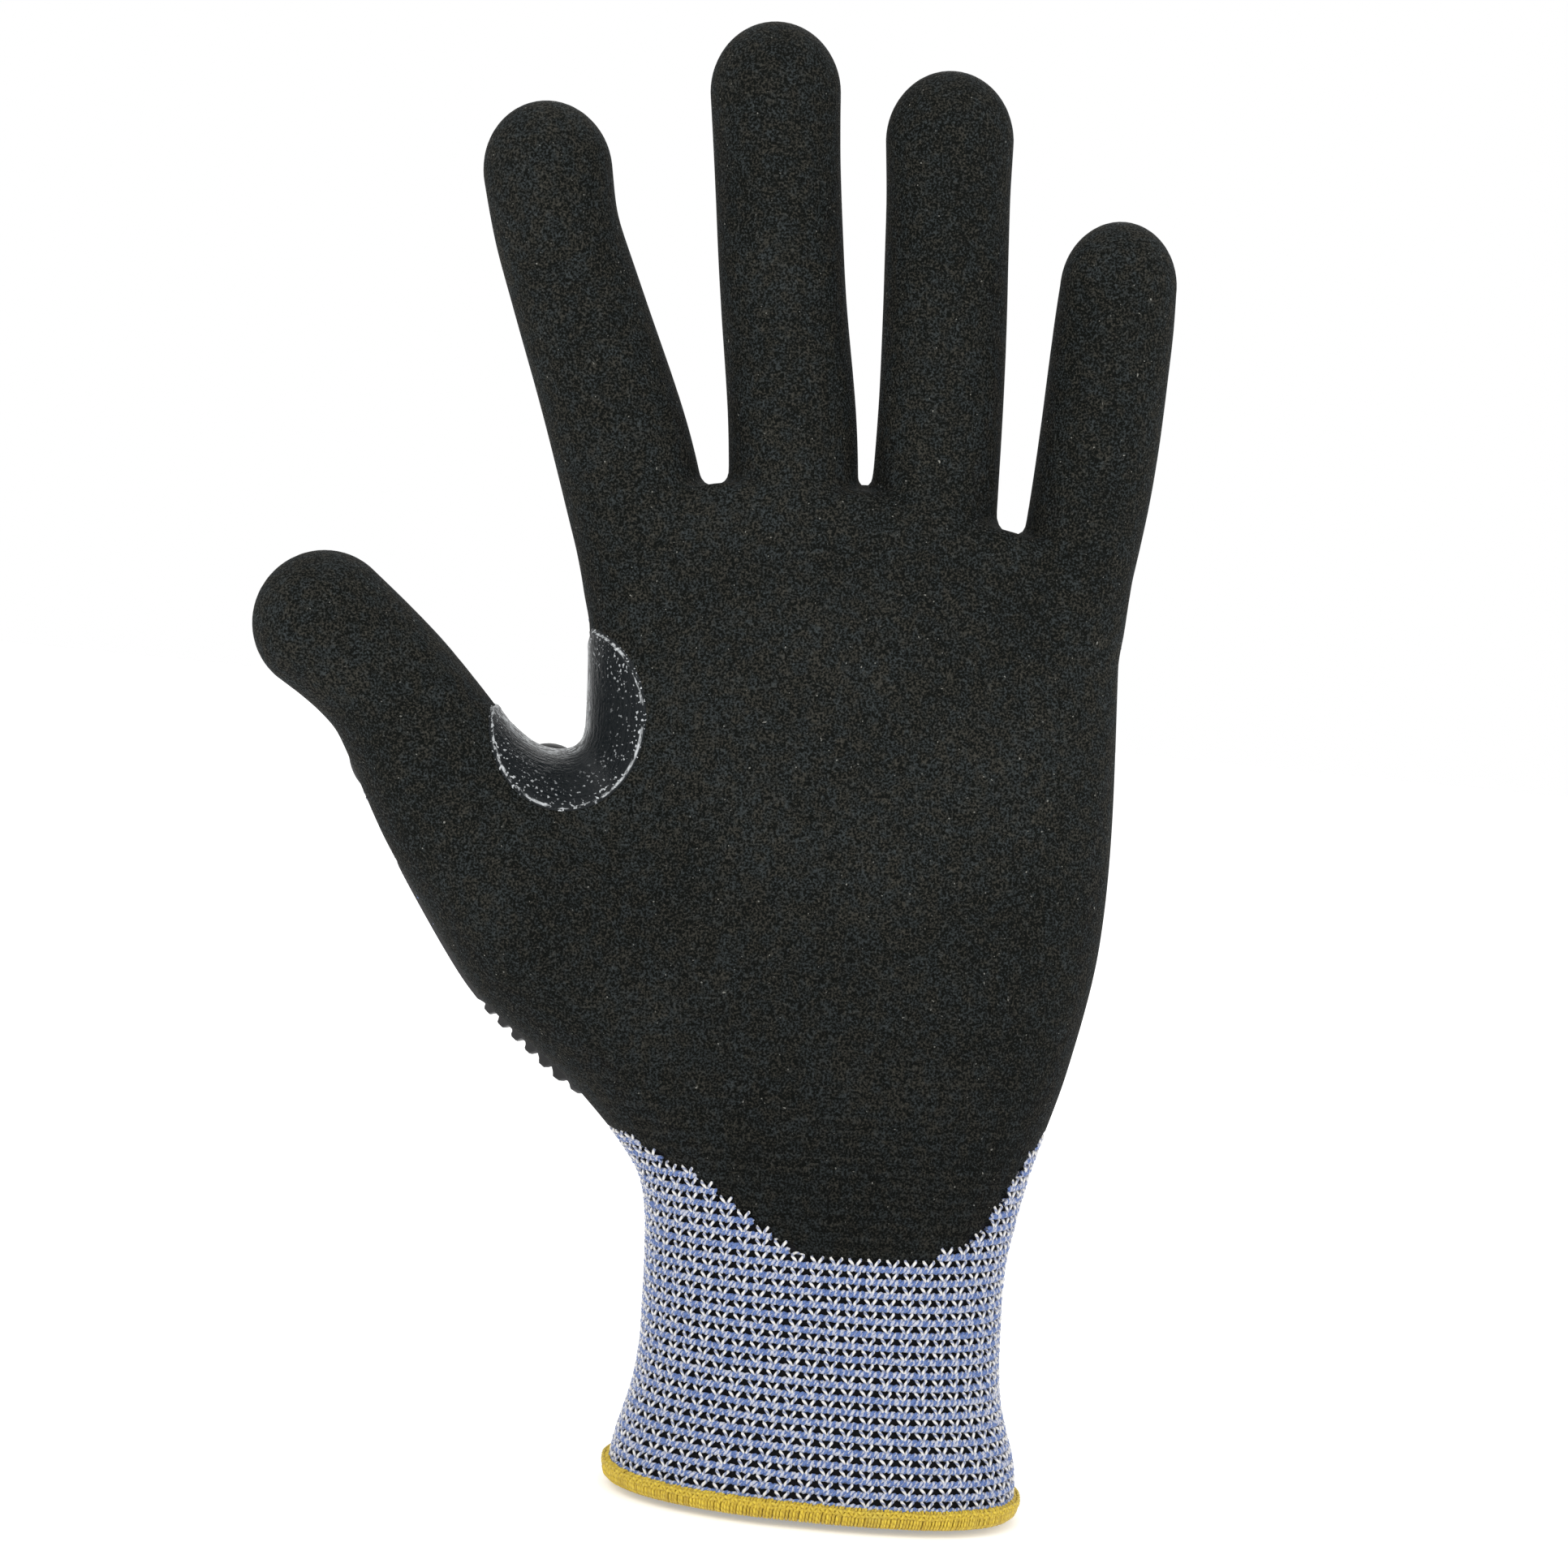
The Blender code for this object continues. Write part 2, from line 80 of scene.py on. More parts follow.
def run_length(line):
    """The length along a line of points, at each of them."""
    return np.concatenate([[0.0], np.cumsum(np.linalg.norm(np.diff(line, axis=0), axis=1))])


def smooth_min(a, b, k):
    """The lower of two distances, rounded off where they meet."""
    h = np.clip(0.5 + 0.5 * (b - a) / k, 0.0, 1.0)
    return b + (a - b) * h - k * h * (1.0 - h)


def smoothed(values, step, sigma):
    """Evenly spaced values with their corners rounded off over sigma mm."""
    reach = int(3 * sigma / step)
    kernel = np.exp(-0.5 * (np.arange(-reach, reach + 1) * step / sigma) ** 2)
    kernel /= kernel.sum()
    first, last = values[0], values[-1]
    ramp = np.arange(1, reach + 1)
    before = 2 * first - values[np.minimum(ramp, len(values) - 1)][::-1]
    after = 2 * last - values[::-1][np.minimum(ramp, len(values) - 1)]
    return np.convolve(np.concatenate([before, values, after]), kernel, "valid")


def curve(points, at):
    """Values at some places on a smooth curve through a few (place, value) points."""
    place, value = np.array(points, float).T
    rise = np.diff(value) / np.diff(place)
    lean = np.concatenate([rise[:1], (rise[:-1] + rise[1:]) / 2.0, rise[-1:]])
    turning = np.concatenate([[False], rise[:-1] * rise[1:] <= 0.0, [False]])
    lean[turning] = 0.0
    at = np.clip(at, place[0], place[-1])
    i = np.clip(np.searchsorted(place, at) - 1, 0, len(rise) - 1)
    gap = place[i + 1] - place[i]
    t = (at - place[i]) / gap
    start = (1.0 + 2.0 * t) * value[i] + t * gap * lean[i]
    end = (3.0 - 2.0 * t) * value[i + 1] - (1.0 - t) * gap * lean[i + 1]
    return (1.0 - t) ** 2 * start + t * t * end


class Digit:
    """A finger or the thumb: a line of centres with an elliptical section and rounded ends."""

    STEP = 0.75

    def __init__(self, rows, twist=0.0, dome=11.0, blend=2.6):
        rows = np.array(rows, float)  # x, y, z, half width, half depth
        closer = 1.0 + rows[:, 1:2] / VIEW_DISTANCE
        rows[:, (0, 2)] = VIEW_CENTRE[[0, 2]] + (rows[:, (0, 2)] - VIEW_CENTRE[[0, 2]]) * closer
        rows[:, 3:4] *= closer
        at = run_length(rows[:, :3])
        self.length = at[-1]
        s = np.linspace(0.0, self.length, int(self.length / self.STEP) + 1)
        self.step = s[1]
        table = np.stack([smoothed(np.interp(s, at, rows[:, k]), self.step, 3.0) for k in range(5)], 1)
        self.centre, self.half = table[:, :3], table[:, 3:]
        t = np.gradient(self.centre, axis=0)
        self.along = t / np.linalg.norm(t, axis=1)[:, None]
        flat = np.stack([self.along[:, 2], 0 * s, -self.along[:, 0]], 1)
        flat /= np.linalg.norm(flat, axis=1)[:, None]
        turn = math.radians(twist)
        self.side = flat * math.cos(turn) + np.cross(self.along, flat) * math.sin(turn)
        self.back = np.cross(self.along, self.side)
        self.dome, self.blend = dome, blend
        reach = self.half.max() + 5.0
        self.low, self.high = self.centre.min(0) - reach, self.centre.max(0) + reach

    def at(self, s):
        """Centre, along, side, back, half sizes at lengths along the digit."""
        f = np.clip(s / self.step, 0.0, len(self.centre) - 1.001)
        i = f.astype(int)
        f = (f - i)[:, None]
        tables = (self.centre, self.along, self.side, self.back, self.half)
        return [v[i] * (1 - f) + v[i + 1] * f for v in tables]

    def near(self, p):
        """Which points are close enough for the digit to matter."""
        return ((p > self.low) & (p < self.high)).all(1)

    def locate(self, p):
        """Length along the digit, then the offsets across it, towards the back and past its ends."""
        near = (self.centre**2).sum(1)[None, :] - 2.0 * p @ self.centre.T
        i = near.argmin(1)
        s = i * self.step + ((p - self.centre[i]) * self.along[i]).sum(1)
        inside = np.clip(s, 0.0, self.length)
        centre, along, side, back, half = self.at(inside)
        v = p - centre
        past = np.where(s == inside, 0.0, (v * along).sum(1))
        return inside + past, (v * side).sum(1), (v * back).sum(1), past, half

    def distance(self, p):
        """Signed distance, about right near the surface."""
        _, a, b, past, half = self.locate(p)
        r = np.sqrt(a * a + b * b + past * past)
        q = np.sqrt((a / half[:, 0]) ** 2 + (b / half[:, 1]) ** 2 + (past / self.dome) ** 2)
        q = np.maximum(q, 1e-6)
        return r * (1.0 - 1.0 / q)


def finger(spans, tip, y, depth, dome=11.0):
    """A finger from its left and right edge at some heights, and the middle of its rounded tip."""
    spans = np.array(spans, float)
    z = np.linspace(spans[0, 0], spans[-1, 0], 12)
    left, right = curve(spans[:, (0, 1)], z), curve(spans[:, (0, 2)], z)
    x = (left + right) / 2.0
    half = (right - left) / 2.0 * np.cos(np.arctan(np.gradient(x, z)))
    x, z = np.append(x, tip[0]), np.append(z, tip[1])
    half = np.append(half, tip[2])
    f = (z - z[0]) / (z[-1] - z[0])
    rows = np.stack([x, y[0] + (y[1] - y[0]) * f**1.5, z, half, depth[0] + (depth[1] - depth[0]) * f], 1)
    return Digit(rows, dome=dome)


DIGITS = {
    "index": finger(
        ((145.0, -44.0, -22.0), (166.0, -50.5, -27.5), (184.0, -56.5, -34.5), (199.0, -61.5, -40.5)),
        (-52.5, 207.5, 10.2), (0.0, -4.2), (10.6, 8.8)),
    "middle": finger(
        ((145.0, -21.0, -0.5), (168.0, -22.0, -1.5), (190.0, -24.5, -4.5), (211.0, -26.5, -6.5)),
        (-17.3, 221.7, 10.3), (0.0, -4.2), (10.6, 8.8)),
    "ring": finger(
        ((145.0, 0.5, 21.0), (176.0, 1.5, 21.2), (207.0, 1.0, 20.5)),
        (10.5, 215.4, 10.1), (0.0, -4.2), (10.6, 8.8)),
    "little": finger(
        ((142.0, 24.0, 42.0), (163.0, 26.5, 45.5), (188.0, 28.5, 47.5)),
        (38.3, 193.7, 9.2), (0.0, -3.4), (10.2, 8.6), 10.5),
    "thumb": Digit(
        ((-19.0, -2.0, 66.0, 14.0, 14.2), (-32.0, -4.0, 76.5, 15.6, 15.6), (-45.0, -5.0, 89.0, 17.4, 15.0),
         (-61.0, -5.5, 107.2, 13.8, 12.8), (-68.4, -7.0, 118.6, 12.1, 11.6), (-72.9, -8.0, 125.2, 10.9, 11.0),
         (-79.2, -9.2, 131.0, 11.0, 10.8), (-84.4, -10.4, 135.0, 11.6, 10.0)),
        twist=25.0, blend=8.0),
    "web": Digit(((-38.0, -0.5, 104.5, 9.5, 8.6), (-57.0, -4.0, 105.5, 9.5, 8.6)), dome=7.0, blend=7.0),
}
# Half outlines of the cuff and palm: height, then where the surface is. They turn at the hem's flare, the
# wrist, the heel of the hand and the knuckles.
PALM_LEFT = (
    (-10.0, -33.0), (3.0, -32.5), (18.0, -29.0), (36.0, -28.5), (50.0, -30.0), (62.0, -36.0), (80.0, -41.0),
    (130.0, -42.0), (150.0, -43.0), (175.0, -40.0))
PALM_RIGHT = (
    (-10.0, 32.0), (5.0, 32.0), (18.0, 29.0), (34.0, 28.5), (50.0, 31.0), (70.0, 37.0), (90.0, 41.0),
    (140.0, 41.5), (165.0, 39.0))
PALM_DEPTH = (
    (-10.0, 24.0), (4.0, 23.5), (16.0, 21.5), (44.0, 21.0), (70.0, 19.0), (115.0, 16.5), (140.0, 14.0),
    (165.0, 10.5))
PALM_Z = np.arange(-10.0, 175.0, 0.5)
PALM_EDGES = [curve(t, PALM_Z) for t in (PALM_LEFT, PALM_RIGHT, PALM_DEPTH)]
PALM_POWER = 2.4
PALM_TOP = np.array((
    (-60.0, 148.0), (-38.0, 156.0), (-23.0, 159.5), (0.0, 159.5), (24.0, 154.0), (50.0, 145.0)))


def palm_distance(p):
    """Signed distance to the cuff and palm without the digits."""
    x, y, z = p.T
    left, right, depth = [np.interp(z, PALM_Z, t) for t in PALM_EDGES]
    centre, width = (left + right) / 2.0, (right - left) / 2.0
    hollow = 1.5 * np.exp(-(((x - 4.0) / 17.0) ** 2) - ((z - 112.0) / 26.0) ** 2)
    depth = depth - hollow * (y < 0.0)
    a, b = np.abs(x - centre), np.abs(y)
    r = np.sqrt(a * a + b * b)
    q = np.maximum(((a / width) ** PALM_POWER + (b / depth) ** PALM_POWER) ** (1.0 / PALM_POWER), 1e-6)
    side = r * (1.0 - 1.0 / q)
    top = z - np.interp(x, PALM_TOP[:, 0], PALM_TOP[:, 1])
    return -smooth_min(-side, -top, 4.0)


def distance(p):
    """Signed distance to the outside of the whole glove."""
    found = palm_distance(p)
    for digit in DIGITS.values():
        near = digit.near(p)
        if near.any():
            found[near] = smooth_min(found[near], digit.distance(p[near]), digit.blend)
    return found


def slope(p, reach=0.12):
    """Unit direction out of the surface."""
    corners = np.array(((1, -1, -1), (-1, -1, 1), (-1, 1, -1), (1, 1, 1)), float)
    total = sum(c * distance(p + c * reach)[:, None] for c in corners)
    return normalised(total)


def settle(p, level=0.0, rounds=3):
    """Points moved onto the surface at a level, with the direction out of it."""
    for _ in range(rounds):
        n = slope(p)
        p = p - n * (distance(p) - level)[:, None]
    return p, slope(p)


# ---------------------------------------------------------------- mesh of the outside

SPACING = 1.0
HEM_CUT = 2.2
GRID_LOW, GRID_HIGH = np.array((-99.0, -27.0, -3.0)), np.array((51.0, 27.0, 236.0))


def surface_net(spacing):
    """Points and quads where the distance is zero, on a grid of cells."""
    axes = [np.arange(a, b, spacing) for a, b in zip(GRID_LOW, GRID_HIGH)]
    field = np.empty([len(a) for a in axes], np.float32)
    for i, x in enumerate(axes[0]):
        y, z = np.meshgrid(axes[1], axes[2], indexing="ij")
        field[i] = distance(np.stack([np.full(y.size, x), y.ravel(), z.ravel()], 1)).reshape(y.shape)
    inside = field < 0.0
    corners = np.array([(i, j, k) for i in (0, 1) for j in (0, 1) for k in (0, 1)])
    shape = np.array(field.shape) - 1
    windows = [tuple(slice(c, c + n) for c, n in zip(corner, shape)) for corner in corners]
    count = sum(inside[window].astype(np.int8) for window in windows)
    cells = np.argwhere((count > 0) & (count < 8))
    value = np.stack([field[tuple((cells + c).T)] for c in corners], 1)
    total, hits = np.zeros((len(cells), 3)), np.zeros(len(cells))
    for a in range(8):
        for b in range(a + 1, 8):
            if np.abs(corners[a] - corners[b]).sum() == 1:
                crosses = (value[:, a] < 0) != (value[:, b] < 0)
                t = value[:, a] / np.where(crosses, value[:, a] - value[:, b], 1.0)
                total += crosses[:, None] * (corners[a] + t[:, None] * (corners[b] - corners[a]))
                hits += crosses
    points = GRID_LOW + spacing * (cells + total / hits[:, None])
    number = np.full(shape, -1)
    number[tuple(cells.T)] = np.arange(len(cells))
    quads = []
    for axis in range(3):
        u, v = (axis + 1) % 3, (axis + 2) % 3
        first, second = [
            inside[tuple(slice(low, low + n) if k == axis else slice(1, n) for k, n in enumerate(shape))]
            for low in (0, 1)]
        edges = np.argwhere(first != second)
        at = edges.copy()
        at[:, u] += 1
        at[:, v] += 1
        ring = []
        for du, dv in ((1, 1), (0, 1), (0, 0), (1, 0)):
            cell = at.copy()
            cell[:, u] -= du
            cell[:, v] -= dv
            ring.append(number[tuple(cell.T)])
        quad = np.stack(ring, 1)
        out = first[tuple(edges.T)]
        quads.append(np.where(out[:, None], quad, quad[:, ::-1]))
    quads = np.concatenate(quads)
    return points, quads[(quads >= 0).all(1)]


def snap(points, measure, reach):
    """Moves points near the line where a measure is zero onto it, and gives the measure there."""
    value = measure(points)
    near = np.abs(value) < 3.0 * reach
    p = points[near]
    eps = 0.05
    g = np.stack([measure(p + eps * e) - measure(p - eps * e) for e in np.eye(3)], 1) / (2 * eps)
    n = slope(p)
    g -= n * (g * n).sum(1)[:, None]
    length = np.linalg.norm(g, axis=1)
    away = value[near] / np.maximum(length, 0.2)
    move = np.abs(away) < reach
    p = np.where(move[:, None], p - g / np.maximum(length, 0.2)[:, None] ** 2 * value[near][:, None], p)
    points[near] = p
    away[move] = 0.0
    value[near] = away
    return value


# ---------------------------------------------------------------- regions

# Lower edge of the palm's coating, as x and height
COAT_EDGE = (
    (-60.0, 60.0), (-32.5, 56.5), (-20.0, 51.0), (-4.0, 41.5), (6.0, 40.3), (16.0, 41.0), (24.0, 45.5),
    (32.0, 57.0), (60.0, 78.0))
COURSE = 2.03  # height of one row of knitting
# How far the coating reaches round the sides towards the back, and down the back from each tip
COAT_BACK = {"palm": 2.5, "index": 4.0, "middle": 4.0, "ring": 4.0, "little": 4.0, "thumb": 6.0}
TIP_COAT = {"index": 17.0, "middle": 18.0, "ring": 17.0, "little": 15.0, "thumb": 18.0}


def ease(t):
    """A smooth step from 0 to 1."""
    t = np.clip(t, 0.0, 1.0)
    return t * t * (3.0 - 2.0 * t)


def coat_measure(p):
    """Below zero where the coating covers the glove, about the distance to its edge."""
    x, y, z = p.T
    edge = curve(COAT_EDGE, x)
    steps = edge / COURSE
    edge = COURSE * (np.floor(steps) + ease((steps - np.floor(steps)) * 2.2 - 0.6))
    below = edge - z
    side = y - COAT_BACK["palm"] - 0.36 * np.sin(z * 0.35)
    for name, covered in TIP_COAT.items():
        digit = DIGITS[name]
        near = digit.near(p)
        if not near.any():
            continue
        s, _, back, _, _ = digit.locate(p[near])
        f = digit.distance(p[near])
        start = 20.0 if name == "thumb" else 8.0
        share = ease((s - start) / (32.0 if name == "thumb" else 8.0)) * ease((4.0 - f) / 3.0)
        tip = digit.length + digit.dome - covered - s
        own = smooth_min(back - COAT_BACK[name], tip, 7.0)
        side[near] = side[near] * (1.0 - share) + own * share
    return np.maximum(below, side)


JOINTS = {j["name"]: j for j in frame["joints"]}
BONES = {name: ("proximal", "middle", "distal") for name in ("index", "middle", "ring", "little")}
BONES["thumb"] = ("proximal", "distal")
# How far past the base joint each digit starts to bend, how far before a bend its piece starts, and how
# far a bend reaches each side of its joint
FIRST_BEND = {"index": 1.4, "middle": 2.4, "ring": 4.9, "little": 1.0, "thumb": 2.5}
SEAM_GAP = 0.8
BEND_HALF = {"pip": 6.0, "dip": 5.0, "ip": 6.0}


def unit(v):
    """One vector scaled to length 1."""
    return v / np.linalg.norm(v)


def joint_point(name):
    """Where a joint is, in mm."""
    return np.array(JOINTS[name]["pos_m"]) / MM


def digit_bends(name):
    """For each length of a digit: the two bodies it bends between, and the bend's start and end in mm."""
    labels = ("mcp", "ip") if name == "thumb" else ("mcp", "pip", "dip")
    points = [joint_point(f"{name}_{label}") for label in labels]
    low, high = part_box(f"{name}_{BONES[name][-1]}_coating")
    tip = np.array((low + high) / 2) / MM
    tip[2] = high.z / MM
    chain = points + [tip]
    ways = [unit(b - a) for a, b in zip(chain, chain[1:])]
    found, parent = [], "hand"
    for i, label in enumerate(labels):
        child = f"{name}_{BONES[name][i]}"
        if i == 0:
            start = points[0] + ways[0] * FIRST_BEND[name]
            end = points[1] - ways[0] * (BEND_HALF[labels[1]] + 2 * SEAM_GAP)
        else:
            way = unit(ways[i - 1] + ways[i])
            start, end = points[i] - way * BEND_HALF[label], points[i] + way * BEND_HALF[label]
        found.append((parent, child, start, end))
        parent = child
    return found


BENDS = {name: digit_bends(name) for name in BONES}
WRIST_BEND = (np.array((0.4, 0.0, 20.0)), np.array((0.4, 0.0, 50.0)))
WRIST_TOP = 58.0
SEGMENTS = ["wrist", "hand"] + [f"{name}_{bone}" for name in BONES for bone in BONES[name]]


def segment_of(p):
    """The number in SEGMENTS of the piece that each point belongs to."""
    found = np.where(p[:, 2] < WRIST_TOP, 0, 1)
    closest = np.full(len(p), 2.4)
    for name, bends in BENDS.items():
        digit = DIGITS[name]
        near = np.flatnonzero(digit.near(p))
        if not len(near):
            continue
        q = p[near]
        f = digit.distance(q)
        _, _, start, end = bends[0]
        past = (q - start) @ unit(end - start) > -SEAM_GAP
        mine = past & (f < closest[near])
        number = np.zeros(len(q), int)
        for i, (_, _, start, end) in enumerate(bends[1:], 1):
            if i == 1:
                seam = (q - start) @ unit(end - start) > -SEAM_GAP
            else:
                before = bends[i - 1][3]
                seam = (q - (before + start) / 2.0) @ unit(start - before) > 0.0
            number[seam] = i
        near, number = near[mine], number[mine]
        closest[near] = f[mine]
        found[near] = SEGMENTS.index(f"{name}_{BONES[name][0]}") + number
    return found


def attach(obj, segment):
    """Ties a piece of the hand to its body; any other piece is baked where it stands."""
    if segment == "hand":
        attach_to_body(obj, "hand")
        return
    if segment == "wrist":
        a, b, (start, end) = "cuff", "hand", WRIST_BEND
    else:
        name, bone = segment.split("_")
        a, b, start, end = BENDS[name][BONES[name].index(bone)]
    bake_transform(obj)


# ---------------------------------------------------------------- mesh building

HEM_TILT = 0.047
HEM_LIFT = 0.45


def sag(points):
    """The cuff's hem hangs lower at the little finger's side."""
    share = ease(1.0 - points[:, 2] / 62.0)
    moved = points.copy()
    moved[:, 2] += (HEM_LIFT - HEM_TILT * points[:, 0]) * share
    return moved


def make_mesh(name, points, faces, material, normals=None, attributes=None):
    """A mesh object from points in mm and quads, and, where given, a normal for each corner of each quad."""
    mesh = bpy.data.meshes.new(name)
    loops = faces.ravel()
    mesh.vertices.add(len(points))
    mesh.vertices.foreach_set("co", (sag(points) * MM).astype(np.float32).ravel())
    mesh.loops.add(len(loops))
    mesh.loops.foreach_set("vertex_index", loops.astype(np.int32))
    mesh.polygons.add(len(faces))
    mesh.polygons.foreach_set("loop_start", np.arange(0, len(loops), 4, dtype=np.int32))
    mesh.update(calc_edges=True)
    mesh.validate()
    mesh.shade_smooth()
    rest = mesh.attributes.new("rest", "FLOAT_VECTOR", "POINT")
    rest.data.foreach_set("vector", points.astype(np.float32).ravel())
    for key, values in (attributes or {}).items():
        kind, field = ("FLOAT_VECTOR", "vector") if values.ndim == 2 else ("FLOAT", "value")
        made = mesh.attributes.new(key, kind, "POINT")
        made.data.foreach_set(field, values.astype(np.float32).ravel())
    if normals is not None and len(mesh.loops) == len(loops):
        mesh.normals_split_custom_set(normals.tolist())
    obj = bpy.data.objects.new(name, mesh)
    bpy.context.scene.collection.objects.link(obj)
    mesh.materials.append(material)
    return obj


def face_normals(points, faces):
    """A vector square to each quad, as long as twice its area."""
    a, b = points[faces[:, 2]] - points[faces[:, 0]], points[faces[:, 3]] - points[faces[:, 1]]
    return np.cross(a, b)


def vertex_normals(points, faces):
    """Smooth normals at points from the quads round them."""
    n = face_normals(points, faces)
    total = np.zeros_like(points)
    for k in range(4):
        np.add.at(total, faces[:, k], n)
    return normalised(total)


def rim_edges(faces):
    """The directed edges that only one face uses."""
    edges = np.concatenate([faces[:, (k, (k + 1) % 4)] for k in range(4)])
    key = np.sort(edges, axis=1)
    number = key[:, 0] * (key.max() + 1) + key[:, 1]
    _, first, count = np.unique(number, return_index=True, return_counts=True)
    return edges[first[count == 1]]


def shell(name, outer, inner, outer_n, faces, material, attributes=None):
    """A closed skin between two sheets of points that share their faces."""
    used, local = np.unique(faces, return_inverse=True)
    local = local.reshape(faces.shape)
    n = len(used)
    rim = rim_edges(local)
    walls = np.stack([rim[:, 1], rim[:, 0], rim[:, 0] + n, rim[:, 1] + n], 1)
    points = np.concatenate([outer[used], inner[used]])
    all_faces = np.concatenate([local, local[:, ::-1] + n, walls])
    corner = np.concatenate([outer_n[used], -outer_n[used]])
    normals = corner[all_faces].copy()
    normals[len(local) * 2:] = normalised(face_normals(points, walls))[:, None, :]
    values = {key: np.concatenate([v[used], v[used]]) for key, v in (attributes or {}).items()}
    return make_mesh(name, points, all_faces, material, normals.reshape(-1, 3), values)


def square_grid(rows, columns):
    """Two arrays from -1 to 1: one changes from row to row, the other from column to column."""
    return np.meshgrid(np.linspace(-1, 1, rows), np.linspace(-1, 1, columns), indexing="ij")


def sheet_quads(rows, columns, points, way):
    """The quads of a grid of points, turned to face the way given at each point."""
    index = np.arange(rows * columns).reshape(rows, columns)
    quads = np.stack([index[:-1, :-1], index[:-1, 1:], index[1:, 1:], index[1:, :-1]], -1).reshape(-1, 4)
    if (face_normals(points, quads) * way[quads[:, 0]]).sum() < 0.0:
        quads = quads[:, ::-1]
    return quads


# ---------------------------------------------------------------- courses and wales of the knit

WALES = 56  # stitches round the cuff
DIGIT_WALES = 5  # stitches each side of the middle of a digit's back
PARTS = 4  # table columns in each wale
LOWEST_COURSE = 2.6
OPEN_PITCH = 9.0  # a wale's width where the walk round doesn't reach the palm
CUFF_TOP, CUFF_FADE = 60.0, 10.0  # the width has a limit above the first, and a lower one by the second
HEEL_PITCH, BACK_PITCH = 3.4, 3.2  # these two limits
DIGIT_PITCH = 2.95  # a wale's width on the digits
TOP_WALK = 141.0  # above this the wales go straight up
BEHIND = 24.0  # further back than any of the hand


def walk(rows, step, count):
    """Follows the outside round at each height in rows, both ways from the middle of the back."""
    z = np.concatenate([rows, rows])
    way = np.repeat((1.0, -1.0), len(rows))
    p = np.stack([np.zeros(len(z)), np.full(len(z), BEHIND), z], 1)
    path = []
    for i in range(count):
        for _ in range(8 if i == 0 else 2):
            n = slope(p)
            flat = n[:, :2] / np.maximum(np.linalg.norm(n[:, :2], axis=1), 1e-6)[:, None]
            lean = np.maximum(np.linalg.norm(n[:, :2], axis=1), 0.3)
            p[:, :2] -= flat * (distance(p) / lean)[:, None]
        path.append(p.copy())
        p[:, :2] += np.stack([flat[:, 1], -flat[:, 0]], 1) * (way * step)[:, None]
    path = np.stack(path, 1)
    return path[: len(rows)], path[len(rows):]


def resample(line, at):
    """Points at distances along a line."""
    s = run_length(line)
    return np.stack([np.interp(at, s, line[:, k]) for k in range(3)], 1)


def front_crossings(line):
    """Where a line round the glove crosses the middle of the palm."""
    return np.flatnonzero((line[:-1, 0] * line[1:, 0] <= 0.0) & (line[1:, 1] < 0.0))


def hand_table():
    """Places and directions out of the surface for each course and quarter wale of cuff and hand."""
    rows = np.arange(LOWEST_COURSE, 161.0, COURSE)
    right, left = walk(rows, 0.7, 170)
    half = WALES // 2
    table = np.empty((len(rows), WALES * PARTS + 1, 3))
    for i, z in enumerate(rows):
        sides = []
        for line in (right[i], left[i]):
            span = run_length(line)
            crossed = front_crossings(line)
            pitch = OPEN_PITCH
            if len(crossed):
                k = crossed[0]
                share = line[k, 0] / (line[k, 0] - line[k + 1, 0])
                pitch = (span[k] + (span[k + 1] - span[k]) * share) / half
            if z > CUFF_TOP:
                share = ease((z - CUFF_TOP) / CUFF_FADE)
                pitch = min(pitch, BACK_PITCH) * share + min(pitch, HEEL_PITCH) * (1.0 - share)
            sides.append(resample(line, np.arange(half * PARTS + 1) * pitch / PARTS))
        table[i] = np.concatenate([sides[1][:0:-1], sides[0]])
    last = np.searchsorted(rows, TOP_WALK)
    for i in range(last, len(rows)):
        table[i] = table[last - 1]
        table[i, :, 2] = rows[i]
        behind = table[i, :, 1] > 0.0
        table[i, behind] = on_back(table[i, behind, 0], table[i, behind, 2])[0]
    flat = table.reshape(-1, 3)
    return table, slope(flat).reshape(table.shape)


def on_back(x, z):
    """Places on the back of the hand over x and z, with the directions out of it."""
    low, high = np.zeros(x.size), np.full(x.size, BEHIND)
    for _ in range(14):
        y = (low + high) / 2.0
        solid = distance(np.stack([x.ravel(), y, z.ravel()], 1)) < 0.0
        low, high = np.where(solid, y, low), np.where(solid, high, y)
    p = np.stack([x, y.reshape(x.shape), z], -1)
    return p, slope(p.reshape(-1, 3)).reshape(p.shape)


def digit_table(name):
    """The same for the back of a digit, along its own line."""
    digit = DIGITS[name]
    first = 34.0 if name == "thumb" else 4.0
    rows = np.arange(first, digit.length + digit.dome - TIP_COAT[name] + 3.0, COURSE)
    centre, _, side, back, half = digit.at(rows)
    turn = np.linspace(0.0, math.pi, 120)[:, None]
    at = np.arange(DIGIT_WALES * PARTS + 1) * DIGIT_PITCH / PARTS
    table = np.empty((len(rows), 2 * DIGIT_WALES * PARTS + 1, 3))
    for i in range(len(rows)):
        across = half[i, 0] * np.sin(turn) * side[i]
        up = half[i, 1] * np.cos(turn) * back[i]
        left, right = resample(centre[i] - across + up, at), resample(centre[i] + across + up, at)
        table[i] = np.concatenate([left[:0:-1], right])
    flat, normal = settle(table.reshape(-1, 3))
    return flat.reshape(table.shape), normal.reshape(table.shape)


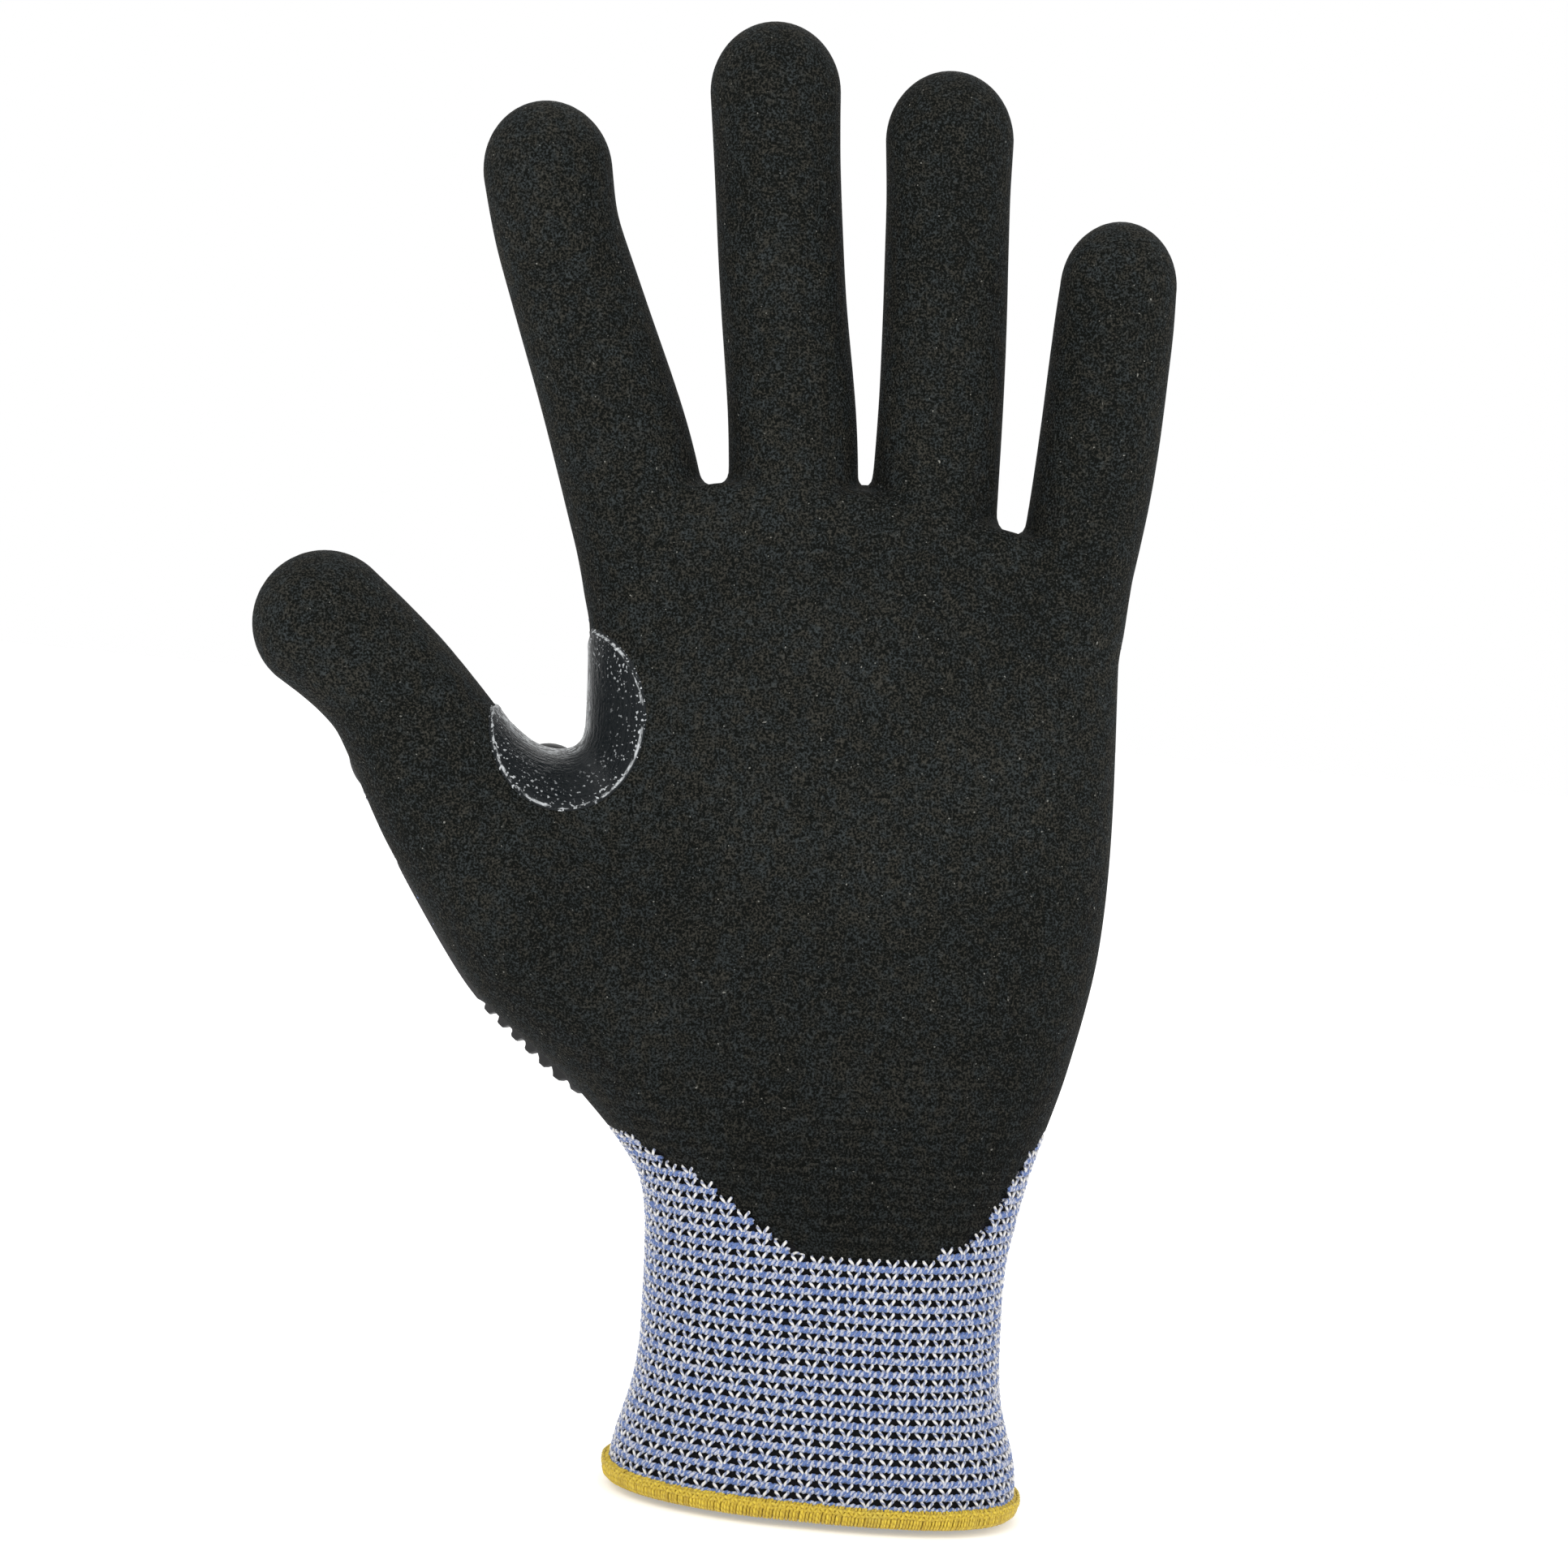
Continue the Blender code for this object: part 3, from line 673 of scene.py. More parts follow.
# Yarn paths over one wale: along the course in wales, up in courses, and out from the surface in mm
LOOP = np.array((
    (-0.50, 0.28, -0.85), (-0.20, 0.34, -0.65), (-0.06, 0.44, -0.24), (-0.15, 0.65, -0.10),
    (-0.28, 0.88, -0.14), (-0.31, 1.00, -0.48), (-0.15, 1.12, -0.80), (0.15, 1.12, -0.80),
    (0.31, 1.00, -0.48), (0.28, 0.88, -0.14), (0.15, 0.65, -0.10), (0.06, 0.44, -0.24),
    (0.20, 0.34, -0.65)))
LOOP_RADIUS = 0.25
STRAND_RADIUS = 0.34
STRAND_POINTS = 8
STRAND_TURNS = 1.5
TUBE_SIDES = 5
TALLEST_STITCH, WIDEST_STITCH = 1.7 * COURSE, 4.4
FARTHEST_STITCH = 0.7  # from the glove's outside
COAT_OVERLAP = -0.45  # how far stitches go on under the edge of the coating


def lookup(table, row, column):
    """Values of a table between its rows and columns."""
    row = np.clip(row, 0.0, table.shape[0] - 1.001)
    column = np.clip(column, 0.0, table.shape[1] - 1.001)
    i, j = row.astype(int), column.astype(int)
    f, g = (row - i)[..., None], (column - j)[..., None]
    return (
        (table[i, j] * (1 - g) + table[i, j + 1] * g) * (1 - f)
        + (table[i + 1, j] * (1 - g) + table[i + 1, j + 1] * g) * f
    )


def tubes(path, normal, radius, keep, per_wale, shade):
    """Round yarns along rows of points. keep says which wales of each row are made."""
    rows, count, _ = path.shape
    ahead = np.empty_like(path)
    ahead[:, 1:-1] = path[:, 2:] - path[:, :-2]
    ahead[:, 0], ahead[:, -1] = path[:, 1] - path[:, 0], path[:, -1] - path[:, -2]
    length = np.linalg.norm(ahead, axis=2)
    ahead /= np.maximum(length, 1e-9)[..., None]
    side = normalised(np.cross(ahead, normal))
    out = np.cross(side, ahead)
    turn = np.arange(TUBE_SIDES) * 2.0 * math.pi / TUBE_SIDES
    ring = out[:, :, None] * np.cos(turn)[:, None] + side[:, :, None] * np.sin(turn)[:, None]
    points = path[:, :, None] + radius * ring
    run = np.cumsum(length, axis=1) * 0.5
    strand = np.stack(np.broadcast_arrays(run[..., None], np.cos(turn), np.sin(turn)), -1)
    index = np.arange(rows * count * TUBE_SIDES).reshape(rows, count, TUBE_SIDES)
    made = np.repeat(keep, per_wale, axis=1)
    a, b = index[:, :-1], index[:, 1:]
    quads = np.stack([a, np.roll(a, -1, 2), np.roll(b, -1, 2), b], -1)[made].reshape(-1, 4)
    used, local = np.unique(quads, return_inverse=True)
    shades = np.broadcast_to(shade[..., None], (rows, count, TUBE_SIDES)).reshape(-1)
    return points.reshape(-1, 3)[used], local.reshape(quads.shape), strand.reshape(-1, 3)[used], shades[used]


def wrapped(values):
    """Rows with their first place added again after the last."""
    return np.concatenate([values, values[:, :1]], axis=1)


def knit(table, normals, keep, rows):
    """Loop yarn and twisted strands over the kept stitches, as (points, faces, strand, shade)."""
    wales = keep.shape[1]
    course = np.arange(rows)[:, None]
    made = []
    spread = RANDOM.uniform(-1.0, 1.0, (rows, wales, 3))

    def lay(along, up, out, per_wale, radius, tone):
        column = along * PARTS
        row = course + up
        place, way = lookup(table, row, column), lookup(normals, row, column)
        way = normalised(way)
        made.append(tubes(place + way * out[..., None], way, radius, keep, per_wale, tone))

    n = len(LOOP)
    along = np.append((np.arange(wales)[:, None] + 0.5 + LOOP[:, 0]).ravel(), wales)[None]
    wobble = wrapped(np.repeat(spread, n, axis=1))
    up = wrapped(np.tile(LOOP[:, 1], wales)[None]) + 0.035 * wobble[..., 0]
    out = wrapped(np.tile(LOOP[:, 2], wales)[None]) + 0.05 * wobble[..., 1]
    tone = 0.5 + 0.5 * wobble[..., 2]
    lay(along + 0.03 * wobble[..., 1], up, out, n, LOOP_RADIUS, tone)
    along = (np.arange(wales * STRAND_POINTS + 1) / STRAND_POINTS)[None]
    drift = RANDOM.uniform(0.0, 6.28, (rows, 1))
    for half in (0.0, math.pi):
        phase = 2.0 * math.pi * STRAND_TURNS * along + half + drift
        wobble = wrapped(np.repeat(spread, STRAND_POINTS, axis=1))
        up = 0.24 + 0.150 * np.cos(phase) + 0.02 * wobble[..., 0]
        out = -0.36 + 0.17 * np.sin(phase) + 0.04 * wobble[..., 1]
        tone = np.broadcast_to(2.0 + (half > 0) * 2.0, up.shape) + 0.5 + 0.5 * wobble[..., 2]
        lay(np.broadcast_to(along, up.shape), up, out, STRAND_POINTS, STRAND_RADIUS, tone)
    return made


def yarn_mesh(name, parts, material):
    """One object from several sets of tubes."""
    points, faces, strand, shade = zip(*parts)
    starts = np.cumsum([0] + [len(p) for p in points])
    faces = np.concatenate([f + start for f, start in zip(faces, starts)])
    values = {"strand": np.concatenate(strand), "shade": np.concatenate(shade)}
    return make_mesh(name, np.concatenate(points), faces, material, None, values)


def make_knit(table, normals, allowed, material):
    """Knit over one table, split by segment, without torn or buried stitches or those under the coating."""
    courses, wales = table.shape[0] - 1, (table.shape[1] - 1) // PARTS
    row = np.arange(courses)[:, None] + 0.0
    column = (np.arange(wales)[None] + 0.5) * PARTS
    edges = np.arange(wales + 1)[None] * PARTS + 0.0
    flat = lookup(table, row + 0.5, column).reshape(-1, 3)
    segment = segment_of(flat).reshape(courses, wales)
    height = np.linalg.norm(lookup(table, row + 1.0, column) - lookup(table, row, column), axis=2)
    width = np.linalg.norm(np.diff(lookup(table, row, edges), axis=1), axis=2)
    shown = (height < TALLEST_STITCH) & (width < WIDEST_STITCH)
    shown &= np.abs(distance(flat).reshape(courses, wales)) < FARTHEST_STITCH
    shown &= coat_measure(flat).reshape(courses, wales) > COAT_OVERLAP
    for number in allowed:
        keep = shown & (segment == number)
        if keep.any():
            state = RANDOM.bit_generator.state
            obj = yarn_mesh(f"{SEGMENTS[number]}_knit", knit(table, normals, keep, courses), material)
            attach(obj, SEGMENTS[number])
            RANDOM.bit_generator.state = state


# ---------------------------------------------------------------- rubber pads, hem and patch

PAD_BASE, PAD_ROOT = 0.9, 0.2  # a pad's height inside its rim, and the rim's depth below the surface
SKIN = 0.25  # how far a closed sheet goes in below the surface
LEVEL = np.array((1.0, 1.0, 0.0))  # drops the height of a place


def squared(a, b):
    """A square from -1 to 1 mapped to a square with round corners."""
    return a * np.sqrt(1.0 - 0.34 * b * b), b * np.sqrt(1.0 - 0.34 * a * a)


def pad(name, points, normals, height, material, segment, replaced):
    """A closed rubber pad over a grid of places on the surface, with its height at each place."""
    rows, columns, _ = points.shape
    place, way = points.reshape(-1, 3), normals.reshape(-1, 3)
    outer = place + way * height.reshape(-1, 1)
    quads = sheet_quads(rows, columns, outer, way)
    obj = shell(name, outer, place - way * SKIN, vertex_normals(outer, quads), quads, material)
    attach(obj, segment)
    if replaced:
        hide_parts(replaced)


def edge_rise(a, b, soft=0.22):
    """From 0 at the rim of a unit square to 1 inside it, with a round shoulder."""
    d = np.minimum(1.0 - np.abs(a), 1.0 - np.abs(b)) / soft
    return np.sqrt(np.clip(1.0 - (1.0 - np.clip(d, 0.0, 1.0)) ** 2, 0.0, 1.0))


def pad_base(a, b, soft):
    """A pad's height without its ribs."""
    return -PAD_ROOT + (PAD_BASE + PAD_ROOT) * edge_rise(a, b, soft)


def wave(turns):
    """From 1 at whole turns to 0 between them."""
    return 0.5 + 0.5 * np.cos(2 * math.pi * turns)


def digit_pads(material):
    """One pad on the back of each length of each digit, with grooves across it."""
    for name, bones in BONES.items():
        digit = DIGITS[name]
        for i, bone in enumerate(bones):
            start = BENDS[name][i][2 if i == 0 else 3]
            after = BENDS[name][i + 1][2] if i + 1 < len(bones) else None
            s0 = digit.locate(start[None])[0][0] + (3.0 if i == 0 else 1.2)
            s1 = s0 + 10.5 if after is None else digit.locate(after[None])[0][0] - 1.4
            b, a = square_grid(30, 26)
            u, v = squared(a, b)
            s = (s0 + s1) / 2 + v * (s1 - s0) / 2
            centre, _, side, back, half = digit.at(s.ravel())
            turn = u.ravel() * math.radians(50.0 - 4.0 * i)
            across = side * (half[:, 0] * np.sin(turn))[:, None]
            place, way = settle(centre + across + back * (half[:, 1] * np.cos(turn))[:, None])
            grooves = wave((s - s0) / ((s1 - s0) / max(2, round((s1 - s0) / 3.4))))
            ribs = ease(grooves * 1.6 - 0.3) * ease((0.86 - np.abs(a)) * 6.0) * ease((0.84 - np.abs(b)) * 6.0)
            height = pad_base(a, b, 0.14) + 1.2 * (1.0 - ribs) * edge_rise(a, b, 0.3)
            place, way = place.reshape(*a.shape, 3), way.reshape(*a.shape, 3)
            part = f"{name}_{bone}"
            pad(f"{part}_pad", place, way, height, material, part, f"{part}_bumper")


def knuckle_pad(material):
    """The lobed band over the knuckles."""
    b, a = square_grid(44, 150)
    lobe = np.abs(np.cos(math.pi * 2.0 * (a + 0.25)))
    u, v = squared(a, b)
    x = -0.5 + 37.5 * u
    z = 139.5 - 0.0022 * (x + 8.0) ** 2 + v * (8.2 - 1.6 * lobe)
    place, way = on_back(x, z)
    within = ((a * 2.0 + 1.0) % 1.0) * 2.0 - 1.0
    dome = np.sqrt(np.clip(1.0 - within**2 * 1.25 - (b * 1.25) ** 2, 0.0, 1.0))
    cells = np.clip(1.0 - np.abs(((a * 2.0 + 2.0) % 1.0) - 0.5) * 2.6, 0.0, 1.0)
    groove = ease(3.0 * (0.5 + 0.5 * np.cos(b * 14.0)) - 0.6)
    height = pad_base(a, b, 0.1) + 1.6 * dome * ease(cells * 4.0) * (0.62 + 0.38 * groove)
    pad("knuckle_pad", place, way, height, material, "hand", "knuckle_bumper")


def metacarpal_pad(material):
    """The plate of bars over the back of the hand."""
    b, a = square_grid(90, 84)
    u, v = squared(a, b)
    z = 105.0 + v * 18.5
    x = 0.5 + u * (24.5 + 6.5 * v)
    place, way = on_back(x, z)
    trough = ease(wave(2.0 * (u + 1.0)) * 1.7 - 0.35)
    inner = ease((0.86 - np.abs(b)) * 7.0) * ease((0.94 - np.abs(a)) * 12.0)
    height = pad_base(a, b, 0.08) + 1.4 * (1.0 - trough) * inner
    pad("metacarpal_pad", place, way, height, material, "hand", "metacarpal_bumper")


EDGE_LINE = np.array((
    (-39.5, 61.5), (-47.5, 69.0), (-56.0, 77.5), (-62.5, 86.0), (-68.4, 95.0), (-73.6, 103.0)))
EDGE_TOOTH, EDGE_TOOTHED = 3.0, 24.0  # length of a tooth and of the toothed stretch


def thumb_edge_pad(material):
    """The strip along the thumb's side that wraps onto the back: toothed below, smooth above."""
    s = run_length(EDGE_LINE)
    f = np.linspace(-1.0, 1.0, 220)
    b, a = square_grid(26, 220)
    u, v = squared(a, b)
    line = [np.interp((f + 1.0) / 2.0 * s[-1], s, smoothed(EDGE_LINE[:, k], 10.0, 6.0)) for k in (0, 1)]
    x, z = [np.interp(u, f, values) for values in line]
    reach = (1.0 - v) / 2.0
    p = np.stack([x + 8.2 * reach, -4.0 + 16.0 * reach, z], -1)
    place, way = [q.reshape(p.shape) for q in settle(p.reshape(-1, 3), rounds=6)]
    along = (u + 1.0) / 2.0 * s[-1]
    toothed = ease((EDGE_TOOTHED - along) / 3.0)
    teeth = 1.25 * ease(wave(along / EDGE_TOOTH) * 1.9 - 0.45)
    height = pad_base(a, b, 0.12) + edge_rise(a, b, 0.3) * (0.9 * (1.0 - toothed) + toothed * teeth)
    pad("thumb_edge_pad", place, way, height, material, "hand", "thumb_edge_bumper")


def web_tab(material):
    """The small dome behind the web of the thumb."""
    latitude, longitude = np.radians(np.linspace(-88, 88, 16)), np.radians(np.linspace(0, 360, 41))
    b, a = np.meshgrid(latitude, longitude, indexing="ij")
    ball = np.stack([np.cos(b) * np.cos(a), np.cos(b) * np.sin(a), np.sin(b)], -1)
    tab = np.array((-48.0, 6.2, 114.6)) + ball * np.array((4.2, 2.8, 2.6))
    pad("web_tab", tab, ball, np.zeros(a.shape), material, "hand", None)


HEM_RING = 2.0  # height at which the hem is traced
WRAP_PITCH, CHAIN_PITCH = 0.5, 1.45
THREAD_RADIUS = 0.26
# The thread's way round the edge, as out from the surface and up, its lean along the hem, and its core
WRAP = np.array((
    (-2.5, 2.7), (-2.65, 1.8), (-2.5, 0.9), (-1.9, 0.40), (-0.9, 0.26), (0.0, 0.40), (0.55, 0.9), (0.72, 1.6),
    (0.62, 2.3), (0.30, 2.9), (-0.25, 3.0)))
WRAP_LEAN = np.array((0.0, 0.0, 0.0, 0.0, 0.0, 0.0, 0.05, 0.12, 0.3, 0.55, 0.7))
CORE = (
    (-2.4, 2.5), (-2.4, 0.9), (-1.6, 0.5), (-0.3, 0.5), (0.3, 1.0), (0.42, 2.0), (0.2, 2.6), (-0.8, 2.7),
    (-1.6, 2.6))


def level_slope(p):
    """Unit direction out of the surface, kept level."""
    return normalised(slope(p) * LEVEL)


def hem_line():
    """The closed line round the hem."""
    right, left = [lines[0] for lines in walk(np.array((HEM_RING,)), 0.5, 240)]
    right, left = [line[: front_crossings(line)[0] + 1] for line in (right, left)]
    return np.concatenate([left[:0:-1], right, left[-1:]])


def hem_chain(closed, length):
    """The two threads of the chain along the top of the hem."""
    count = int(length / CHAIN_PITCH)
    at = np.arange(count * 8) / 8.0
    line = resample(closed, at * length / count)
    out, phase = level_slope(line), at * 2 * math.pi
    for half in (0.0, math.pi):
        chain = line * LEVEL + out * (0.78 + 0.12 * np.sin(phase * 2 + half))[:, None]
        chain[:, 2] = 2.45 + 0.34 * np.sin(phase + half) + 0.1 * np.sin(phase * 0.13)
        chain, way = wrapped(chain[None]), wrapped(out[None])
        keep = np.ones((1, chain.shape[1] - 1), bool)
        yield tubes(chain, way, THREAD_RADIUS, keep, 1, np.full(chain.shape[:2], 0.6 + 0.2 * math.cos(half)))


def make_hem(material):
    """The overlocked hem: thread wrapped round the edge, with a chain along its top."""
    closed = hem_line()
    length = run_length(closed)[-1]
    wraps = int(length / WRAP_PITCH)
    base = resample(closed, np.arange(wraps + 1) * length / wraps)[:-1]
    normal = level_slope(base)
    ahead = np.cross(np.array((0.0, 0.0, 1.0)), normal)
    jitter = RANDOM.uniform(-1.0, 1.0, (wraps, 4))
    bulge = 0.16 * np.sin(np.arange(wraps) * 0.105) + 0.10 * jitter[:, 0]
    out = WRAP[:, 0] + (bulge * 0.7)[:, None] * (WRAP[:, 0] > -1.0)
    lean = WRAP_LEAN + 0.09 * jitter[:, 1:2]
    path = base[:, None] * LEVEL + normal[:, None] * out[..., None] + ahead[:, None] * lean[..., None]
    path[..., 2] = WRAP[:, 1] + (0.25 * bulge + 0.12 * jitter[:, 2])[:, None] * (WRAP[:, 1] > 2.0)
    way = np.broadcast_to(ahead[:, None], path.shape)
    tone = np.broadcast_to(jitter[:, 3:4] * 0.5 + 0.5, path.shape[:2])
    keep = np.ones((wraps, len(WRAP) - 1), bool)
    wound = tubes(path, way, THREAD_RADIUS, keep, 1, tone)
    obj = yarn_mesh("hem", [wound, *hem_chain(closed, length), core_ring(base, normal)], material)
    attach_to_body(obj, "cuff")
    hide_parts("hem_binding")


def core_ring(base, normal):
    """The band that the hem's thread is wound on."""
    n, m = len(base), len(CORE)
    points = np.stack([base * LEVEL + normal * out + np.array((0, 0, z)) for out, z in CORE], 1)
    index = np.arange(n * m).reshape(n, m)
    after = np.roll(index, -1, 0)
    quads = np.stack([index, np.roll(index, -1, 1), np.roll(after, -1, 1), after], -1).reshape(-1, 4)
    flat = points.reshape(-1, 3)
    return flat, quads, np.zeros_like(flat), np.full(len(flat), 0.15)


# ---------------------------------------------------------------- materials


class Nodes:
    """Short calls for building a node tree."""

    def __init__(self, name):
        self.material = bpy.data.materials.new(name)
        self.material.use_nodes = True
        self.tree = self.material.node_tree
        self.shader = self.tree.nodes["Principled BSDF"]

    def add(self, kind, inputs=None, **settings):
        node = self.tree.nodes.new(kind)
        for key, value in settings.items():
            setattr(node, key, value)
        for key, value in (inputs or {}).items():
            self.put(value, node.inputs[key])
        return node

    def put(self, value, socket):
        if isinstance(value, bpy.types.NodeSocket):
            self.tree.links.new(value, socket)
        else:
            socket.default_value = value

    def attribute(self, name, output):
        return self.add("ShaderNodeAttribute", attribute_name=name).outputs[output]

    def math(self, operation, a, b=0.0, c=0.0):
        return self.add("ShaderNodeMath", {0: a, 1: b, 2: c}, operation=operation).outputs[0]

    def times(self, a, b, plus=None):
        """a * b, or a * b + plus."""
        return self.math("MULTIPLY", a, b) if plus is None else self.math("MULTIPLY_ADD", a, b, plus)

    def split(self, vector):
        return self.add("ShaderNodeSeparateXYZ", {0: vector}).outputs

    def join(self, x, y):
        return self.add("ShaderNodeCombineXYZ", {0: x, 1: y}).outputs[0]

    def noise(self, vector, scale, detail=2.0, rough=0.5):
        inputs = {"Vector": vector, "Scale": scale, "Detail": detail, "Roughness": rough}
        return self.add("ShaderNodeTexNoise", inputs).outputs["Fac"]

    def twist(self, strand, pitch, offset=0.0):
        """The ridges of plies that wind round a yarn."""
        run, cosine, sine = strand
        turn = self.times(run, 2.0 * math.pi / pitch, offset)
        return self.times(self.math("SINE", turn), cosine, self.times(self.math("COSINE", turn), sine))

    def span(self, value, low, high, to_low=0.0, to_high=1.0):
        return self.add("ShaderNodeMapRange", {0: value, 1: low, 2: high, 3: to_low, 4: to_high}).outputs[0]

    def mix(self, share, a, b):
        node = self.add("ShaderNodeMix", data_type="RGBA")
        self.put(share, node.inputs[0])
        self.put(a, node.inputs[6])
        self.put(b, node.inputs[7])
        return node.outputs[2]

    def bump(self, height, strength, reach, below=None):
        node = self.add("ShaderNodeBump", {"Height": height, "Strength": strength, "Distance": reach * MM})
        if below is not None:
            self.put(below, node.inputs["Normal"])
        return node.outputs[0]

    def finish(self, **inputs):
        for key, value in inputs.items():
            self.put(value, self.shader.inputs[key.replace("_", " ")])
        return self.material


def coating_material():
    """Matt black sandy nitrile, the courses of the knit just showing near the wrist, with painted shade and
    glints.
    """
    m = Nodes("sandy_nitrile")
    rest = m.attribute("rest", "Vector")
    grain = m.noise(rest, 3.0, 1.5, 0.5)
    lumps = m.noise(rest, 0.9, 2.0)
    clouds = m.noise(rest, 0.05, 3.0)
    tint = m.noise(rest, 0.45, 2.0)
    z = m.split(rest)[2]
    ridge = m.math("SINE", m.times(z, 2.0 * math.pi / COURSE))
    ridges = m.times(ridge, m.span(z, 50.0, 84.0, 1.0, 0.0))
    normal = m.bump(ridges, 0.55, 0.14)
    normal = m.bump(m.times(lumps, 0.4, grain), 1.0, 0.40, normal)
    # Sand: the grains' own lighter tone plus painted shade in their pits; the ridges paint shading along the
    # courses.
    light = m.mix(m.span(tint, 0.4, 0.6), (0.050, 0.048, 0.040, 1.0), (0.042, 0.049, 0.050, 1.0))
    sand_and_pit_shade = m.span(m.times(ridges, -0.030, m.times(clouds, 0.14, grain)), 0.50, 0.83)
    colour = m.mix(sand_and_pit_shade, (0.0036, 0.0043, 0.0036, 1.0), light)
    # Small bright specks: painted glints off the sand grains.
    colour = m.mix(m.span(m.noise(rest, 2.1, 0.0), 0.84, 0.88), colour, (0.20, 0.20, 0.18, 1.0))
    shaded = m.span(z, 40.0, 105.0, 0.38, 0.0)
    colour = m.mix(shaded, colour, (0.0, 0.0, 0.0, 1.0))
    return m.finish(Base_Color=colour, Roughness=0.75, Normal=normal, Specular_IOR_Level=0.05)


def patch_material():
    """Glossy film with painted bright highlights: streaks along the fold of the crotch, beads and a broken
    rim.
    """
    m = Nodes("glossy_reinforcement")
    rest = m.attribute("rest", "Vector")
    along, rim, fold = m.split(m.attribute("seam", "Vector"))
    grain = m.noise(rest, 1.7, 2.0, 0.55)
    lines = m.noise(m.join(m.times(along, 0.45), m.times(fold, 2.1)), 1.0, 3.0, 0.6)
    near_fold = m.span(m.times(grain, 2.5, fold), 2.6, 5.8, 1.0, 0.0)
    streaks = m.times(m.span(m.times(grain, 0.7, lines), 0.80, 0.98), near_fold)
    x = m.split(rest)[0]
    # A band near the fold where the streaks of painted highlight are strongest.
    glint_band = m.times(m.span(x, -43.5, -40.0), m.span(fold, 4.2, 0.5))
    streaks = m.times(m.times(glint_band, m.span(lines, 0.36, 0.60)), 0.8, streaks)
    beads = m.times(m.span(m.noise(rest, 2.0, 1.0, 0.4), 0.635, 0.70), m.span(rim, 7.5, 0.6, 0.0, 1.0))
    edge = m.span(m.math("ABSOLUTE", m.math("SUBTRACT", rim, 0.5)), 0.26, 0.10)
    broken = m.span(m.noise(m.join(along, rim), 0.9, 3.0, 0.75), 0.45, 0.57)
    # Bright: painted highlights on the streaks, the beads and the rim.
    bright = m.math("MAXIMUM", m.times(edge, broken), m.math("MAXIMUM", streaks, beads))
    colour = m.mix(bright, (0.0042, 0.0062, 0.0075, 1.0), (0.46, 0.48, 0.49, 1.0))
    normal = m.bump(m.times(grain, 0.7, lines), 0.7, 0.30)
    return m.finish(Base_Color=colour, Roughness=0.28, Normal=normal, Specular_IOR_Level=0.16)


def ground_material():
    """The black elastic ground of the knit, seen between its yarns."""
    m = Nodes("black_ground")
    rest = m.attribute("rest", "Vector")
    fine = m.noise(rest, 2.2, 3.0)
    colour = m.mix(fine, (0.003, 0.003, 0.0034, 1.0), (0.013, 0.013, 0.015, 1.0))
    return m.finish(Base_Color=colour, Roughness=0.9, Normal=m.bump(fine, 0.8, 0.3), Specular_IOR_Level=0.2)


def yarn_material():
    """Marled yarns: cream loop yarn at shades under 2, blue and light strands above."""
    m = Nodes("marled_yarn")
    strand = m.split(m.attribute("strand", "Vector"))
    rest = m.attribute("rest", "Vector")
    shade = m.attribute("shade", "Fac")
    plies = m.twist(strand, 1.15, m.times(shade, 5.0))
    fibres = m.twist(strand, 0.38)
    tint = m.noise(rest, 0.55, 2.0)
    hair = m.noise(rest, 5.0, 2.0, 0.6)
    blue = m.mix(m.span(hair, 0.3, 0.7), (0.066, 0.112, 0.285, 1.0), (0.165, 0.240, 0.480, 1.0))
    pale = m.mix(m.span(hair, 0.3, 0.7), (0.300, 0.335, 0.470, 1.0), (0.640, 0.640, 0.665, 1.0))
    lean = m.times(m.span(tint, 0.35, 0.65, -1.0, 1.0), 0.55, plies)
    marl = m.mix(m.span(lean, -0.05, 0.45), blue, pale)
    cream = m.mix(m.span(plies, -0.9, 0.4), (0.200, 0.230, 0.350, 1.0), (0.740, 0.725, 0.700, 1.0))
    colour = m.mix(m.math("GREATER_THAN", shade, 1.5), cream, marl)
    height = m.times(fibres, 0.4, plies)
    normal = m.bump(hair, 0.5, 0.10, m.bump(height, 0.6, 0.08))
    return m.finish(Base_Color=colour, Roughness=0.82, Normal=normal, Specular_IOR_Level=0.25,
                    Sheen_Weight=0.15, Sheen_Roughness=0.4)


def hem_material():
    """Yellow overlock thread."""
    m = Nodes("yellow_thread")
    strand = m.split(m.attribute("strand", "Vector"))
    rest = m.attribute("rest", "Vector")
    shade = m.attribute("shade", "Fac")
    plies = m.twist(strand, 0.8)
    wear = m.noise(rest, 0.22, 3.0)
    hair = m.noise(rest, 4.0, 2.0)
    warm = m.mix(shade, (0.47, 0.32, 0.025, 1.0), (0.70, 0.52, 0.045, 1.0))
    colour = m.mix(m.span(wear, 0.55, 0.75, 0.0, 0.5), warm, (0.56, 0.44, 0.07, 1.0))
    # Darker yellow in the grooves between the plies: painted shade.
    colour = m.mix(m.span(plies, -1.0, 0.0, 0.75, 0.0), colour, (0.36, 0.24, 0.02, 1.0))
    colour = m.mix(m.span(m.noise(rest, 1.1, 1.0), 0.74, 0.80, 0.0, 0.8), colour, (0.09, 0.07, 0.02, 1.0))
    normal = m.bump(m.times(hair, 0.5, plies), 0.5, 0.08)
    return m.finish(Base_Color=colour, Roughness=0.55, Normal=normal, Specular_IOR_Level=0.4,
                    Sheen_Weight=0.1, Sheen_Roughness=0.4)


